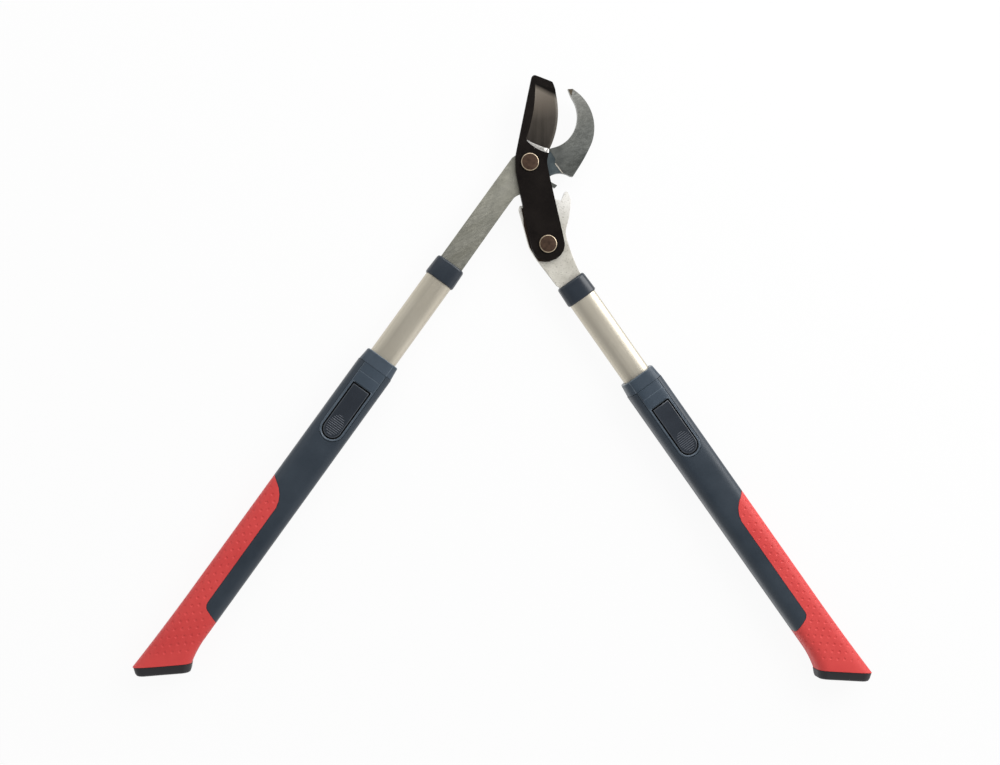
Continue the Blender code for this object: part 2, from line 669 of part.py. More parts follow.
def build_arm_fittings(side_name, tube, finish):
    """What is fixed to the arm: collar, inner tube with its end plug, insert and tang pins."""
    inner_width = TUBE_WIDTH - 2 * TUBE_WALL
    inner_depth = TUBE_DEPTH - 2 * TUBE_WALL
    inner_corner = TUBE_CORNER - TUBE_WALL
    plug_width = inner_width - 2 * FIT_GAP
    plug_depth = inner_depth - 2 * FIT_GAP
    plug_corner = inner_corner - FIT_GAP

    rod = make_object(
        f"{side_name}_inner_tube",
        straight_bar(TUBE_TOP_AT, TUBE_END_AT, TUBE_WIDTH, TUBE_DEPTH, TUBE_CORNER),
        tube,
        finish["aluminium"],
    )
    hollow(
        rod, f"cut_{side_name}_tube", tube,
        TUBE_TOP_AT - OVERRUN, TUBE_END_AT + OVERRUN, inner_width, inner_depth, inner_corner,
    )
    for i in range(LOCK_POSITIONS):
        at = (0, -LOCK_PIN_AT - i * LOCK_HOLE_PITCH)
        bore(rod, f"cut_{side_name}_lock_{i}", tube, LOCK_HOLE_RADIUS, 0, TUBE_DEPTH, at, PIN_SIDES)

    collar_width = TUBE_WIDTH + 2 * (FIT_GAP + COLLAR_WALL)
    collar_depth = TUBE_DEPTH + 2 * (FIT_GAP + COLLAR_WALL)
    collar_corner = TUBE_CORNER + FIT_GAP + COLLAR_WALL
    top_half = collar_width / 2 - COLLAR_TAPER
    tip_half = top_half - COLLAR_CHAMFER
    tip = section(tip_half, tip_half, collar_depth - 2 * COLLAR_CHAMFER, collar_corner - COLLAR_CHAMFER)
    top = section(top_half, top_half, collar_depth, collar_corner)
    bottom = section(collar_width / 2, collar_width / 2, collar_depth, collar_corner)
    collar = make_object(
        f"{side_name}_collar",
        loft([(0, tip), (COLLAR_CHAMFER, top), (COLLAR_LENGTH, bottom)], 1),
        tube,
        finish["navy_collar"],
    )
    hollow(
        collar, f"cut_{side_name}_collar_bore", tube, COLLAR_TOP_WALL, COLLAR_LENGTH + OVERRUN,
        TUBE_WIDTH + 2 * FIT_GAP, TUBE_DEPTH + 2 * FIT_GAP, TUBE_CORNER + FIT_GAP,
    )
    slot_width = ARM_WIDTH + 2 * FIT_GAP
    slot_depth = ARM_THICKNESS + 2 * FIT_GAP
    hollow(
        collar, f"cut_{side_name}_collar_slot", tube, -OVERRUN, COLLAR_TOP_WALL + OVERRUN,
        slot_width, slot_depth, SLOT_CORNER,
    )

    insert_end = TUBE_TOP_AT + INSERT_LENGTH
    insert = make_object(
        f"{side_name}_tang_insert",
        straight_bar(TUBE_TOP_AT, insert_end, plug_width, plug_depth, plug_corner),
        tube,
        finish["nylon"],
    )
    hollow(
        insert, f"cut_{side_name}_insert_slot", tube, TUBE_TOP_AT - OVERRUN, insert_end + OVERRUN,
        TANG_WIDTH + 2 * FIT_GAP, slot_depth, SLOT_CORNER,
    )
    for i, place in enumerate(("upper", "lower")):
        at = (0, -TANG_PIN_FIRST - i * TANG_PIN_PITCH)
        half = TUBE_DEPTH / 2
        pin = cylinder(TANG_PIN_RADIUS, -half, half, at, PIN_SIDES)
        make_object(f"{side_name}_{place}_tang_pin", pin, tube, finish["bright_steel"])
        hole = TANG_PIN_RADIUS + FIT_GAP
        bore(rod, f"cut_{side_name}_rod_pin_{i}", tube, hole, -half, half, at, PIN_SIDES)
        bore(insert, f"cut_{side_name}_insert_pin_{i}", tube, hole, -half, half, at, PIN_SIDES)

    flange_top = TUBE_END_AT + FIT_GAP
    spigot = section(plug_width / 2, plug_width / 2, plug_depth, plug_corner)
    flange = section(TUBE_WIDTH / 2, TUBE_WIDTH / 2, TUBE_DEPTH, TUBE_CORNER)
    stations = [
        (TUBE_END_AT - END_PLUG_SPIGOT, spigot),
        (flange_top, spigot),
        (flange_top, flange),
        (flange_top + END_PLUG_FLANGE, flange),
    ]
    make_object(f"{side_name}_tube_end_plug", loft(stations, 1), tube, finish["nylon"])


def handle_sections(inset, start):
    """The handle's outside, moved in by an inset, from a distance down the tube to past its end."""
    end = OUTER_CORNER_AT + 3 * OVERRUN
    flare_start = INNER_CORNER_AT - INNER_FLARE_LENGTH
    outer_start = OUTER_CORNER_AT - OUTER_FLARE_LENGTH
    steps = [flare_start + (end - flare_start) * i / FLARE_STEPS for i in range(FLARE_STEPS + 1)]
    stations = []
    for at in [start, outer_start] + steps:
        inner_share = max(0, at - flare_start) / INNER_FLARE_LENGTH
        outer_share = max(0, at - outer_start) / OUTER_FLARE_LENGTH
        inner_half = HANDLE_WIDTH / 2 + INNER_FLARE * min(inner_share, FLARE_END) ** 2
        outer_half = HANDLE_WIDTH / 2 + OUTER_FLARE * min(outer_share, FLARE_END) ** 2
        outline = section(
            outer_half - inset, inner_half - inset, HANDLE_DEPTH - 2 * inset, HANDLE_CORNER - inset
        )
        stations.append((at, outline))
    return stations


def end_cut(bm, side, shift):
    """Saw the handle off obliquely: the outer side is the longer one."""
    point = Vector((-side * HANDLE_WIDTH / 2, -INNER_CORNER_AT, 0))
    normal = Vector((-side * math.sin(END_CUT_ANGLE), -math.cos(END_CUT_ANGLE), 0))
    plane = point + normal * shift
    geometry = bm.verts[:] + bm.edges[:] + bm.faces[:]
    bmesh.ops.bisect_plane(bm, geom=geometry, plane_co=plane, plane_no=normal, clear_outer=True)
    open_edges = [e for e in bm.edges if e.is_boundary]
    bmesh.ops.edgeloop_fill(bm, edges=open_edges)
    return bm


def grip_outline(side, grow):
    """The grip's plan, from its tip down the handle's face and round its end."""
    outside = HANDLE_WIDTH
    tip_x = HANDLE_WIDTH / 2
    edge_x = -GRIP_EDGE_OFFSET
    end = OUTER_CORNER_AT + 8 * OVERRUN
    corners = (
        (outside, GRIP_TIP_AT - GRIP_TIP_SLANT, 0),
        (tip_x, GRIP_TIP_AT, 0),
        (edge_x + HANDLE_WIDTH / 6, GRIP_TIP_AT + GRIP_CURVE_LENGTH * GRIP_CURVE_SHARE, GRIP_CURVE_RADIUS),
        (edge_x, GRIP_TIP_AT + GRIP_CURVE_LENGTH, GRIP_CURVE_RADIUS),
        (edge_x, GRIP_SLEEVE_AT - GRIP_SLEEVE_SLANT, GRIP_SLEEVE_SLANT),
        (-tip_x, GRIP_SLEEVE_AT, 0),
        (-outside, GRIP_SLEEVE_AT + GRIP_SLEEVE_SLANT, 0),
        (-outside, end, 0),
        (outside, end, 0),
    )
    points = []
    places = [Vector((x, -at)) for x, at, radius in corners]
    for i, (x, at, radius) in enumerate(corners):
        points += corner_points(places[i - 1], places[i], places[(i + 1) % len(places)], radius)
    return [Vector((side * p.x, p.y)) for p in offset_outline(points, grow)]


def offset_outline(points, grow):
    """Move a clockwise or anticlockwise outline outwards by a small distance."""
    area = sum(a.x * b.y - b.x * a.y for a, b in zip(points, points[1:] + points[:1]))
    turn = 1 if area > 0 else -1
    moved = []
    for i, here in enumerate(points):
        before = (here - points[i - 1]).normalized()
        after = (points[(i + 1) % len(points)] - here).normalized()
        normal = Vector((before.y + after.y, -before.x - after.x)).normalized() * turn
        spread = max(0.5, normal.dot(Vector((before.y, -before.x)) * turn))
        moved.append(here + normal * grow / spread)
    return moved


def panel_outline(half_width, start, end, grow):
    """The lock panel's plan: straight sides and a round lower end."""
    half = half_width + grow
    bottom = arc_points((0, -end + half_width), half, math.tau, math.pi, 12)
    return [Vector((-half, -start + grow)), Vector((half, -start + grow))] + bottom


def build_handle(side_name, side, slide, finish):
    """Everything that slides on the inner tube except the lock lever."""
    core_start = GRIP_TIP_AT - HANDLE_WIDTH
    shell_top = SHOULDER_AT + FIT_GAP
    shell_bm = end_cut(loft(handle_sections(0, shell_top), side), side, 0)
    shell = make_object(f"{side_name}_handle_shell", shell_bm, slide, finish["navy"])
    pocket_bm = prism(grip_outline(side, FIT_GAP), -HANDLE_DEPTH, HANDLE_DEPTH)
    pocket = make_object(f"cut_{side_name}_pocket", pocket_bm, slide, None)
    core_bm = loft(handle_sections(GRIP_THICKNESS + FIT_GAP, core_start), side)
    core = make_object(f"cut_{side_name}_pocket_core", core_bm, slide, None)
    cut(pocket, core)
    cut(shell, pocket)
    hollow(
        shell, f"cut_{side_name}_seat", slide, MOUTH_AT, OUTER_CORNER_AT + 2 * OVERRUN,
        SEAT_WIDTH, SEAT_DEPTH, SEAT_CORNER,
    )
    tongue_slot = prism(
        panel_outline(PANEL_HALF_WIDTH, MOUTH_AT, PANEL_END_AT, FIT_GAP), TUBE_DEPTH / 4, HANDLE_DEPTH
    )
    cut(shell, make_object(f"cut_{side_name}_tongue_slot", tongue_slot, slide, None))

    grip_bm = end_cut(loft(handle_sections(0, core_start), side), side, 0)
    grip = make_object(f"{side_name}_grip", grip_bm, slide, finish["red_rubber"])
    region_bm = prism(grip_outline(side, 0), -HANDLE_DEPTH, HANDLE_DEPTH)
    cut(grip, make_object(f"cut_{side_name}_grip_region", region_bm, slide, None), "INTERSECT")
    grip_core_bm = loft(handle_sections(GRIP_THICKNESS, core_start - OVERRUN), side)
    cut(grip, make_object(f"cut_{side_name}_grip_core", grip_core_bm, slide, None))

    outer = make_object(
        f"{side_name}_outer_tube",
        straight_bar(
            SLEEVE_END_AT + FIT_GAP, OUTER_TUBE_END_AT, OUTER_TUBE_WIDTH, OUTER_TUBE_DEPTH, OUTER_TUBE_CORNER
        ),
        slide,
        finish["aluminium"],
    )
    hollow(
        outer, f"cut_{side_name}_outer_bore", slide, MOUTH_AT, OUTER_CORNER_AT,
        BORE_WIDTH, BORE_DEPTH, BORE_CORNER,
    )
    lock_at = (0, -LOCK_PIN_AT)
    face = HANDLE_DEPTH / 2
    bore(outer, f"cut_{side_name}_outer_lock", slide, LOCK_HOLE_RADIUS, 0, face, lock_at, PIN_SIDES)

    build_lock_housing(side_name, slide, finish)
    build_end_cap(side_name, side, slide, finish)


def build_lock_housing(side_name, slide, finish):
    """Neck ring, sleeve and the panel round the button, moulded in one."""
    neck_width = HANDLE_WIDTH - 2 * NECK_STEP
    neck_depth = HANDLE_DEPTH - 2 * NECK_STEP
    neck_corner = HANDLE_CORNER - NECK_STEP
    sleeve = section(
        SEAT_WIDTH / 2 - FIT_GAP, SEAT_WIDTH / 2 - FIT_GAP, SEAT_DEPTH - 2 * FIT_GAP, SEAT_CORNER - FIT_GAP
    )
    neck = section(neck_width / 2, neck_width / 2, neck_depth, neck_corner)
    stations = [(MOUTH_AT, neck), (SHOULDER_AT, neck), (SHOULDER_AT, sleeve), (SLEEVE_END_AT, sleeve)]
    housing = make_object(f"{side_name}_lock_housing", loft(stations, 1), slide, finish["navy_panel"])

    tongue_start = SHOULDER_AT - NECK_BRIDGE
    tongue_low = SEAT_DEPTH / 2 - 2 * FIT_GAP
    tongue_bm = straight_bar(
        SHOULDER_AT + FIT_GAP, PANEL_END_AT + OVERRUN, HANDLE_WIDTH, HANDLE_DEPTH, HANDLE_CORNER
    )
    tongue = make_object(f"cut_{side_name}_tongue", tongue_bm, slide, None)
    plan = prism(panel_outline(PANEL_HALF_WIDTH, tongue_start, PANEL_END_AT, 0), tongue_low, HANDLE_DEPTH)
    cut(tongue, make_object(f"cut_{side_name}_tongue_plan", plan, slide, None), "INTERSECT")
    cut(housing, tongue, "UNION")
    bridge_end = SHOULDER_AT + 2 * PANEL_HALF_WIDTH
    bridge_plan = panel_outline(PANEL_HALF_WIDTH, tongue_start, bridge_end, -FIT_GAP)
    bridge = prism(bridge_plan, tongue_low, neck_depth / 2 - FIT_GAP)
    cut(housing, make_object(f"cut_{side_name}_bridge", bridge, slide, None), "UNION")

    hollow(
        housing, f"cut_{side_name}_housing_bore", slide, MOUTH_AT - OVERRUN, PANEL_END_AT + OVERRUN,
        BORE_WIDTH, BORE_DEPTH, BORE_CORNER,
    )
    hollow(
        housing, f"cut_{side_name}_housing_seat", slide, SLEEVE_END_AT, PANEL_END_AT + OVERRUN,
        SEAT_WIDTH, SEAT_DEPTH, SEAT_CORNER,
    )
    window_half = BUTTON_WIDTH / 2 + BUTTON_GAP
    window = prism(
        panel_outline(window_half, BUTTON_AT - BUTTON_GAP, BUTTON_AT + BUTTON_LENGTH + BUTTON_GAP, 0),
        TUBE_DEPTH / 4,
        HANDLE_DEPTH,
    )
    cut(housing, make_object(f"cut_{side_name}_window", window, slide, None))
    hinge_hole = cross_bar(HINGE_PIN_RADIUS + FIT_GAP, HANDLE_WIDTH, (0, -HINGE_AT, HINGE_HEIGHT))
    cut(housing, make_object(f"cut_{side_name}_hinge_hole", hinge_hole, slide, None))


def build_end_cap(side_name, side, slide, finish):
    """The dark foot on the oblique end, with a plug that holds it in the handle."""
    half_length = (HANDLE_WIDTH + INNER_FLARE + OUTER_FLARE) / math.cos(END_CUT_ANGLE) / 2
    rounding_start = CAP_INSET + CAP_DRAFT
    foot = bmesh.new()
    middle_x = (OUTER_FLARE - INNER_FLARE) / 2
    middle_at = INNER_CORNER_AT + (HANDLE_WIDTH / 2 + middle_x) * math.tan(END_CUT_ANGLE)
    frame = (
        Matrix.Translation((side * middle_x, -middle_at, 0))
        @ Matrix.Rotation(-side * END_CUT_ANGLE, 4, "Z")
    )
    levels = (
        (FIT_GAP, CAP_INSET),
        (CAP_THICKNESS - CAP_ROUNDING, rounding_start),
        (CAP_THICKNESS - CAP_ROUNDING * CAP_CORNER_SHARE, rounding_start + CAP_ROUNDING * CAP_CORNER_SHARE),
        (CAP_THICKNESS, rounding_start + CAP_ROUNDING * CAP_UNDERSIDE_SHARE),
    )
    rings = []
    for drop, shrink in levels:
        half = half_length - shrink
        outline = section(half, half, HANDLE_DEPTH - 2 * shrink, HANDLE_CORNER - shrink * 0.5)
        rings.append([foot.verts.new(frame @ Vector((p[0], -drop, p[1]))) for p in outline])
    for upper, lower in zip(rings, rings[1:]):
        for i in range(len(upper)):
            j = (i + 1) % len(upper)
            foot.faces.new((upper[i], upper[j], lower[j], lower[i]))
    foot.faces.new(rings[0])
    foot.faces.new(list(reversed(rings[-1])))
    cap = make_object(f"{side_name}_end_cap", foot, slide, finish["charcoal"])

    plug_bm = straight_bar(
        OUTER_TUBE_END_AT + CAP_PLUG_START, OUTER_CORNER_AT + 5 * OVERRUN,
        OUTER_TUBE_WIDTH, OUTER_TUBE_DEPTH, OUTER_TUBE_CORNER,
    )
    plug_bm = end_cut(plug_bm, side, CAP_THICKNESS / 4)
    cut(cap, make_object(f"cut_{side_name}_cap_plug", plug_bm, slide, None), "UNION")


def build_lever(side_name, slide, lever, finish):
    """The rocking button with its lock pin, the hinge pin that carries it and its leaf spring."""
    top = HINGE_BELOW_FACE
    plan = panel_outline(BUTTON_WIDTH / 2, -HINGE_FROM_TOP, BUTTON_LENGTH - HINGE_FROM_TOP, 0)
    plate = prism(plan, top - BUTTON_THICKNESS, top)
    button = make_object(f"{side_name}_lock_button", plate, lever, finish["navy_button"])
    boss_radius = HINGE_PIN_RADIUS + FIT_GAP + HINGE_BOSS_WALL
    boss = cross_bar(boss_radius, BUTTON_WIDTH - 2 * HINGE_BOSS_SETBACK, (0, 0, 0))
    cut(button, make_object(f"cut_{side_name}_boss", boss, lever, None), "UNION")
    hinge_bore = cross_bar(HINGE_PIN_RADIUS + FIT_GAP, BUTTON_WIDTH * 2, (0, 0, 0))
    cut(button, make_object(f"cut_{side_name}_boss_bore", hinge_bore, lever, None))

    pin_y = HINGE_FROM_TOP - LOCK_PIN_FROM_TOP
    pin_top = top - LOCK_PIN_COVER
    tip = TUBE_DEPTH / 2 - LOCK_PIN_REACH - HINGE_HEIGHT
    seat = cylinder(LOCK_PIN_RADIUS + FIT_GAP, -HANDLE_DEPTH, pin_top + FIT_GAP, (0, pin_y), PIN_SIDES)
    cut(button, make_object(f"cut_{side_name}_pin_seat", seat, lever, None))
    pin = cylinder(LOCK_PIN_RADIUS, tip, pin_top, (0, pin_y), PIN_SIDES)
    make_object(f"{side_name}_lock_pin", pin, lever, finish["bright_steel"])

    hinge = cross_bar(HINGE_PIN_RADIUS, 2 * PANEL_HALF_WIDTH - 2 * FIT_GAP, (0, -HINGE_AT, HINGE_HEIGHT))
    make_object(f"{side_name}_hinge_pin", hinge, slide, finish["bright_steel"])

    low = OUTER_TUBE_DEPTH / 2 + FIT_GAP
    high = HINGE_HEIGHT + HINGE_BELOW_BUTTON - FIT_GAP
    middle = BUTTON_AT + BUTTON_LENGTH - BUTTON_WIDTH / 2
    bm = bmesh.new()
    outline = []
    for i in range(SPRING_STEPS + 1):
        share = i / SPRING_STEPS
        rise = (high - SPRING_STRIP - low) * math.sin(math.pi * share)
        outline.append((middle + SPRING_LENGTH * (share - 0.5), low + rise))
    loop = outline + [(at, z + SPRING_STRIP) for at, z in reversed(outline)]
    face = bm.faces.new([bm.verts.new((-SPRING_WIDTH / 2, -at, z)) for at, z in loop])
    grown = bmesh.ops.extrude_face_region(bm, geom=[face])
    far = [v for v in grown["geom"] if isinstance(v, bmesh.types.BMVert)]
    bmesh.ops.translate(bm, verts=far, vec=(SPRING_WIDTH, 0, 0))
    make_object(f"{side_name}_button_spring", bm, slide, finish["bright_steel"])


def make_finishes():
    return {
        "black": make_material("black_coated_steel", (0.013, 0.011, 0.010), 0.45, 0.6),
        "ground_steel": make_material("ground_steel", (0.30, 0.30, 0.27), 0.4, 1.0),
        "cast_steel": make_material("cast_steel", (0.65, 0.62, 0.56), 0.55, 0.8),
        "rivet": make_material("browned_steel", (0.085, 0.05, 0.034), 0.4, 0.8),
        "bright_steel": make_material("bright_steel", (0.5, 0.5, 0.5), 0.3, 1.0),
        "bronze": make_material("bush_bronze", (0.5, 0.32, 0.14), 0.35, 1.0),
        "nylon": make_material("black_nylon", (0.02, 0.02, 0.02), 0.5, 0.0),
        "aluminium": make_material("satin_aluminium", (0.5, 0.46, 0.4), 0.4, 1.0),
        "navy": make_material("navy_shell_plastic", (0.035, 0.05, 0.075), 0.45, 0.0),
        "navy_panel": make_material("navy_panel_plastic", (0.04, 0.058, 0.085), 0.45, 0.0),
        "navy_collar": make_material("navy_collar_plastic", (0.04, 0.06, 0.095), 0.4, 0.0),
        "navy_button": make_material("dark_button_plastic", (0.02, 0.027, 0.045), 0.4, 0.0),
        "red_rubber": make_material("red_grip_rubber", (0.55, 0.045, 0.04), 0.55, 0.0),
        "charcoal": make_material("charcoal_cap_rubber", (0.025, 0.025, 0.03), 0.6, 0.0),
    }


def centre_on_floor(tool):
    """Put the middle of the bounding box's underside at the origin."""
    bpy.context.view_layer.update()
    shapes = [o for o in bpy.data.objects if o.type == "MESH" and not o.hide_render]
    graph = bpy.context.evaluated_depsgraph_get()
    corners = []
    for shape in shapes:
        mesh = shape.evaluated_get(graph).to_mesh()
        corners += [shape.matrix_world @ v.co for v in mesh.vertices]
    low = Vector([min(c[i] for c in corners) for i in range(3)])
    high = Vector([max(c[i] for c in corners) for i in range(3)])
    tool.location -= Vector(((low.x + high.x) / 2, (low.y + high.y) / 2, low.z))
    bpy.context.view_layer.update()


def build():
    clear_scene()
    finish = make_finishes()
    tool = make_empty("tool", None, (0, 0, MID_HEIGHT), HEAD_TILT)
    hook_body = make_empty("hook_side", tool)
    blade_body = make_empty("blade_side", tool)
    right_body = make_empty("right_side", blade_body, (0, -PIVOT_SPACING, 0))
    bodies = {"hook": hook_body, "blade": blade_body, "right": right_body}
    build_plates(bodies, finish)
    lower = (0, -PIVOT_SPACING)
    build_pivot("upper", (0, 0), (hook_body, (0, 0)), blade_body, finish)
    build_pivot("lower", lower, (right_body, (0, 0)), blade_body, finish)
    sides = (
        ("left", -1, hook_body, -LEFT_ARM_ANGLE, -LEFT_ARM_OFFSET, LEFT_ARM_REACH),
        ("right", 1, right_body, RIGHT_ARM_ANGLE, -RIGHT_ARM_OFFSET, RIGHT_ARM_REACH),
    )
    for side_name, side, body, angle, offset, reach in sides:
        down, across = arm_direction(angle)
        place = down * reach + across * offset
        tube = make_empty(f"{side_name}_tube", body, (place.x, place.y, 0), angle)
        slide = make_empty(f"{side_name}_slide", tube)
        lever = make_empty(f"{side_name}_lever", slide, (0, -HINGE_AT, HINGE_HEIGHT))
        build_arm_fittings(side_name, tube, finish)
        build_handle(side_name, side, slide, finish)
        build_lever(side_name, slide, lever, finish)
    centre_on_floor(tool)


build()
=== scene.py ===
import json
import math

import bmesh
import bpy
from mathutils import Matrix, Vector
from mathutils.bvhtree import BVHTree


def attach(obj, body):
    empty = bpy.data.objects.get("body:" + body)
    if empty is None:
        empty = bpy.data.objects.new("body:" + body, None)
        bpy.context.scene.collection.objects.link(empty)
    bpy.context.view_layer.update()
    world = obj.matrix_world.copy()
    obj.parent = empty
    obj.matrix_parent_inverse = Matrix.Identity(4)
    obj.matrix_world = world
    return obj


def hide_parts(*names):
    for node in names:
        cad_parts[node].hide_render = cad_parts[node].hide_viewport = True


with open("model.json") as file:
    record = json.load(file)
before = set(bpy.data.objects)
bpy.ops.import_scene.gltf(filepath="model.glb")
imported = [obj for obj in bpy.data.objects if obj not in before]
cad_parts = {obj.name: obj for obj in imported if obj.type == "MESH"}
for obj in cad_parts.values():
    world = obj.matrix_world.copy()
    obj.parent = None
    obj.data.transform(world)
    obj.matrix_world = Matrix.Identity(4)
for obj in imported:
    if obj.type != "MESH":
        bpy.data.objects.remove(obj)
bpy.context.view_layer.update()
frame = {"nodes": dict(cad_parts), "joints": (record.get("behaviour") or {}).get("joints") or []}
mm = 0.001
nodes = frame["nodes"]
joints = {joint["name"]: joint for joint in frame["joints"]}
midHeight = joints["blade_pivot"]["pos_m"][2]
upperPivot = Vector(joints["blade_pivot"]["pos_m"])
lowerPivot = Vector(joints["right_arm_pivot"]["pos_m"])

# The head's own axes: +Y runs from the lower pivot to the upper one
headUp = (upperPivot - lowerPivot).normalized()
headTurn = math.atan2(headUp.y, headUp.x) - math.pi / 2
headPlace = Matrix.Translation(upperPivot) @ Matrix.Rotation(headTurn, 4, "Z")
armPlace = Matrix.Translation(lowerPivot) @ Matrix.Rotation(headTurn, 4, "Z")


# Distances down a handle are measured from the top of its collar
hingeFromTop = 174 * mm
sides = {"left": -1, "right": 1}  # the side on which each handle's outer edge lies


def handlePlace(sideName):
    # x runs across the handle, y up it from the top of its collar and z up from the middle of its depth
    down = Vector(joints[sideName + "_handle_slide"]["axis"])
    hinge = Vector(joints[sideName + "_button_press"]["pos_m"])
    across = Vector((-down.y, down.x, 0))
    place = Matrix((across, -down, Vector((0, 0, 1)))).transposed().to_4x4()
    place.translation = Vector((hinge.x, hinge.y, midHeight)) - down * hingeFromTop
    return place


places = {name: handlePlace(name) for name in sides}

# Camera, fitted to the photograph
view = {"from": (-0.1955, -0.0045, 1.6953), "tilt": (0.11, -6.33, 0.0), "lens": 64.8, "sensor": 36}


def addObject(name, data):
    made = bpy.data.objects.new(name, data)
    bpy.context.scene.collection.objects.link(made)
    return made


def makeCamera():
    data = bpy.data.cameras.new("photoCamera")
    data.lens = view["lens"]
    data.sensor_width = view["sensor"]
    camera = addObject("photoCamera", data)
    camera.location = view["from"]
    camera.rotation_euler = [math.radians(angle) for angle in view["tilt"]]
    bpy.context.scene.camera = camera


makeCamera()
print("camera placed")


# Shader node helpers
def addNode(tree, kind, **settings):
    node = tree.nodes.new(kind)
    for name, value in settings.items():
        setattr(node, name, value)
    return node


def link(tree, source, target):
    # Feeds a socket from another one, or gives it a constant
    if isinstance(source, bpy.types.NodeSocket):
        tree.links.new(source, target)
    else:
        target.default_value = source


def newGroup(name, numbers, masks):
    # Each group takes a vector and some numbers, and gives masks
    group = bpy.data.node_groups.new(name, "ShaderNodeTree")
    group.interface.new_socket(name="Vector", in_out="INPUT", socket_type="NodeSocketVector")
    for socket, value in numbers.items():
        made = group.interface.new_socket(name=socket, in_out="INPUT", socket_type="NodeSocketFloat")
        made.default_value = value
    for socket in masks:
        group.interface.new_socket(name=socket, in_out="OUTPUT", socket_type="NodeSocketFloat")
    return group, addNode(group, "NodeGroupInput").outputs, addNode(group, "NodeGroupOutput").inputs


def mathNode(tree, operation, first, second, clamp=False):
    node = addNode(tree, "ShaderNodeMath", operation=operation, use_clamp=clamp)
    link(tree, first, node.inputs[0])
    link(tree, second, node.inputs[1])
    return node.outputs[0]


def noiseNode(tree, vector, scale, detail, rough=0.55):
    node = addNode(tree, "ShaderNodeTexNoise")
    for name, value in {"Vector": vector, "Scale": scale, "Detail": detail, "Roughness": rough}.items():
        link(tree, value, node.inputs[name])
    return node.outputs["Fac"]


def spread(tree, value, low, high, start=0.0, end=1.0, **settings):
    # Stretches a value so that low becomes start and high becomes end
    node = addNode(tree, "ShaderNodeMapRange", **settings)
    numbers = {"Value": value, "From Min": low, "From Max": high, "To Min": start, "To Max": end}
    for name, number in numbers.items():
        link(tree, number, node.inputs[name])
    return node.outputs["Result"]


# Drawn or ground lines along X of the vector it is given, with softer bands among them
def makeStreakGroup():
    numbers = {"Lines": 900.0, "Bands": 60.0, "Stretch": 0.03}
    group, given, out = newGroup("streaks", numbers, ("Line", "Band"))
    split = addNode(group, "ShaderNodeSeparateXYZ")
    link(group, given["Vector"], split.inputs[0])
    join = addNode(group, "ShaderNodeCombineXYZ")
    link(group, mathNode(group, "MULTIPLY", split.outputs["X"], given["Stretch"]), join.inputs["X"])
    link(group, split.outputs["Y"], join.inputs["Y"])
    link(group, split.outputs["Z"], join.inputs["Z"])
    line = noiseNode(group, join.outputs[0], given["Lines"], 2.0)
    band = noiseNode(group, join.outputs[0], given["Bands"], 3.0)
    link(group, spread(group, line, 0.3, 0.7), out["Line"])
    link(group, spread(group, band, 0.33, 0.67), out["Band"])
    return group


# Cloudy change of tone, with small specks, as on cast or handled metal
def makeMottleGroup():
    group, given, out = newGroup("mottle", {"Clouds": 40.0, "Specks": 900.0}, ("Cloud", "Speck"))
    cloud = noiseNode(group, given["Vector"], given["Clouds"], 4.0, 0.6)
    speck = noiseNode(group, given["Vector"], given["Specks"], 2.0, 0.7)
    link(group, spread(group, cloud, 0.3, 0.7), out["Cloud"])
    link(group, spread(group, speck, 0.56, 0.72), out["Speck"])
    return group


# The fine spark-eroded grain of moulded plastic and rubber, and where hands have polished it
def makeGrainGroup():
    group, given, out = newGroup("mouldGrain", {"Grain": 2500.0, "Handling": 25.0}, ("Height", "Worn"))
    grain = noiseNode(group, given["Vector"], given["Grain"], 2.0, 0.6)
    worn = noiseNode(group, given["Vector"], given["Handling"], 4.0, 0.6)
    link(group, grain, out["Height"])
    link(group, spread(group, worn, 0.35, 0.7), out["Worn"])
    return group


groups = {"streaks": makeStreakGroup(), "mottle": makeMottleGroup(), "grain": makeGrainGroup()}


def shade(red, green, blue):
    # A colour as read from a screen, 0 to 255, as the linear one that the shader takes
    def linear(value):
        value /= 255
        return value / 12.92 if value <= 0.04045 else ((value + 0.055) / 1.055) ** 2.4

    return (linear(red), linear(green), linear(blue), 1)


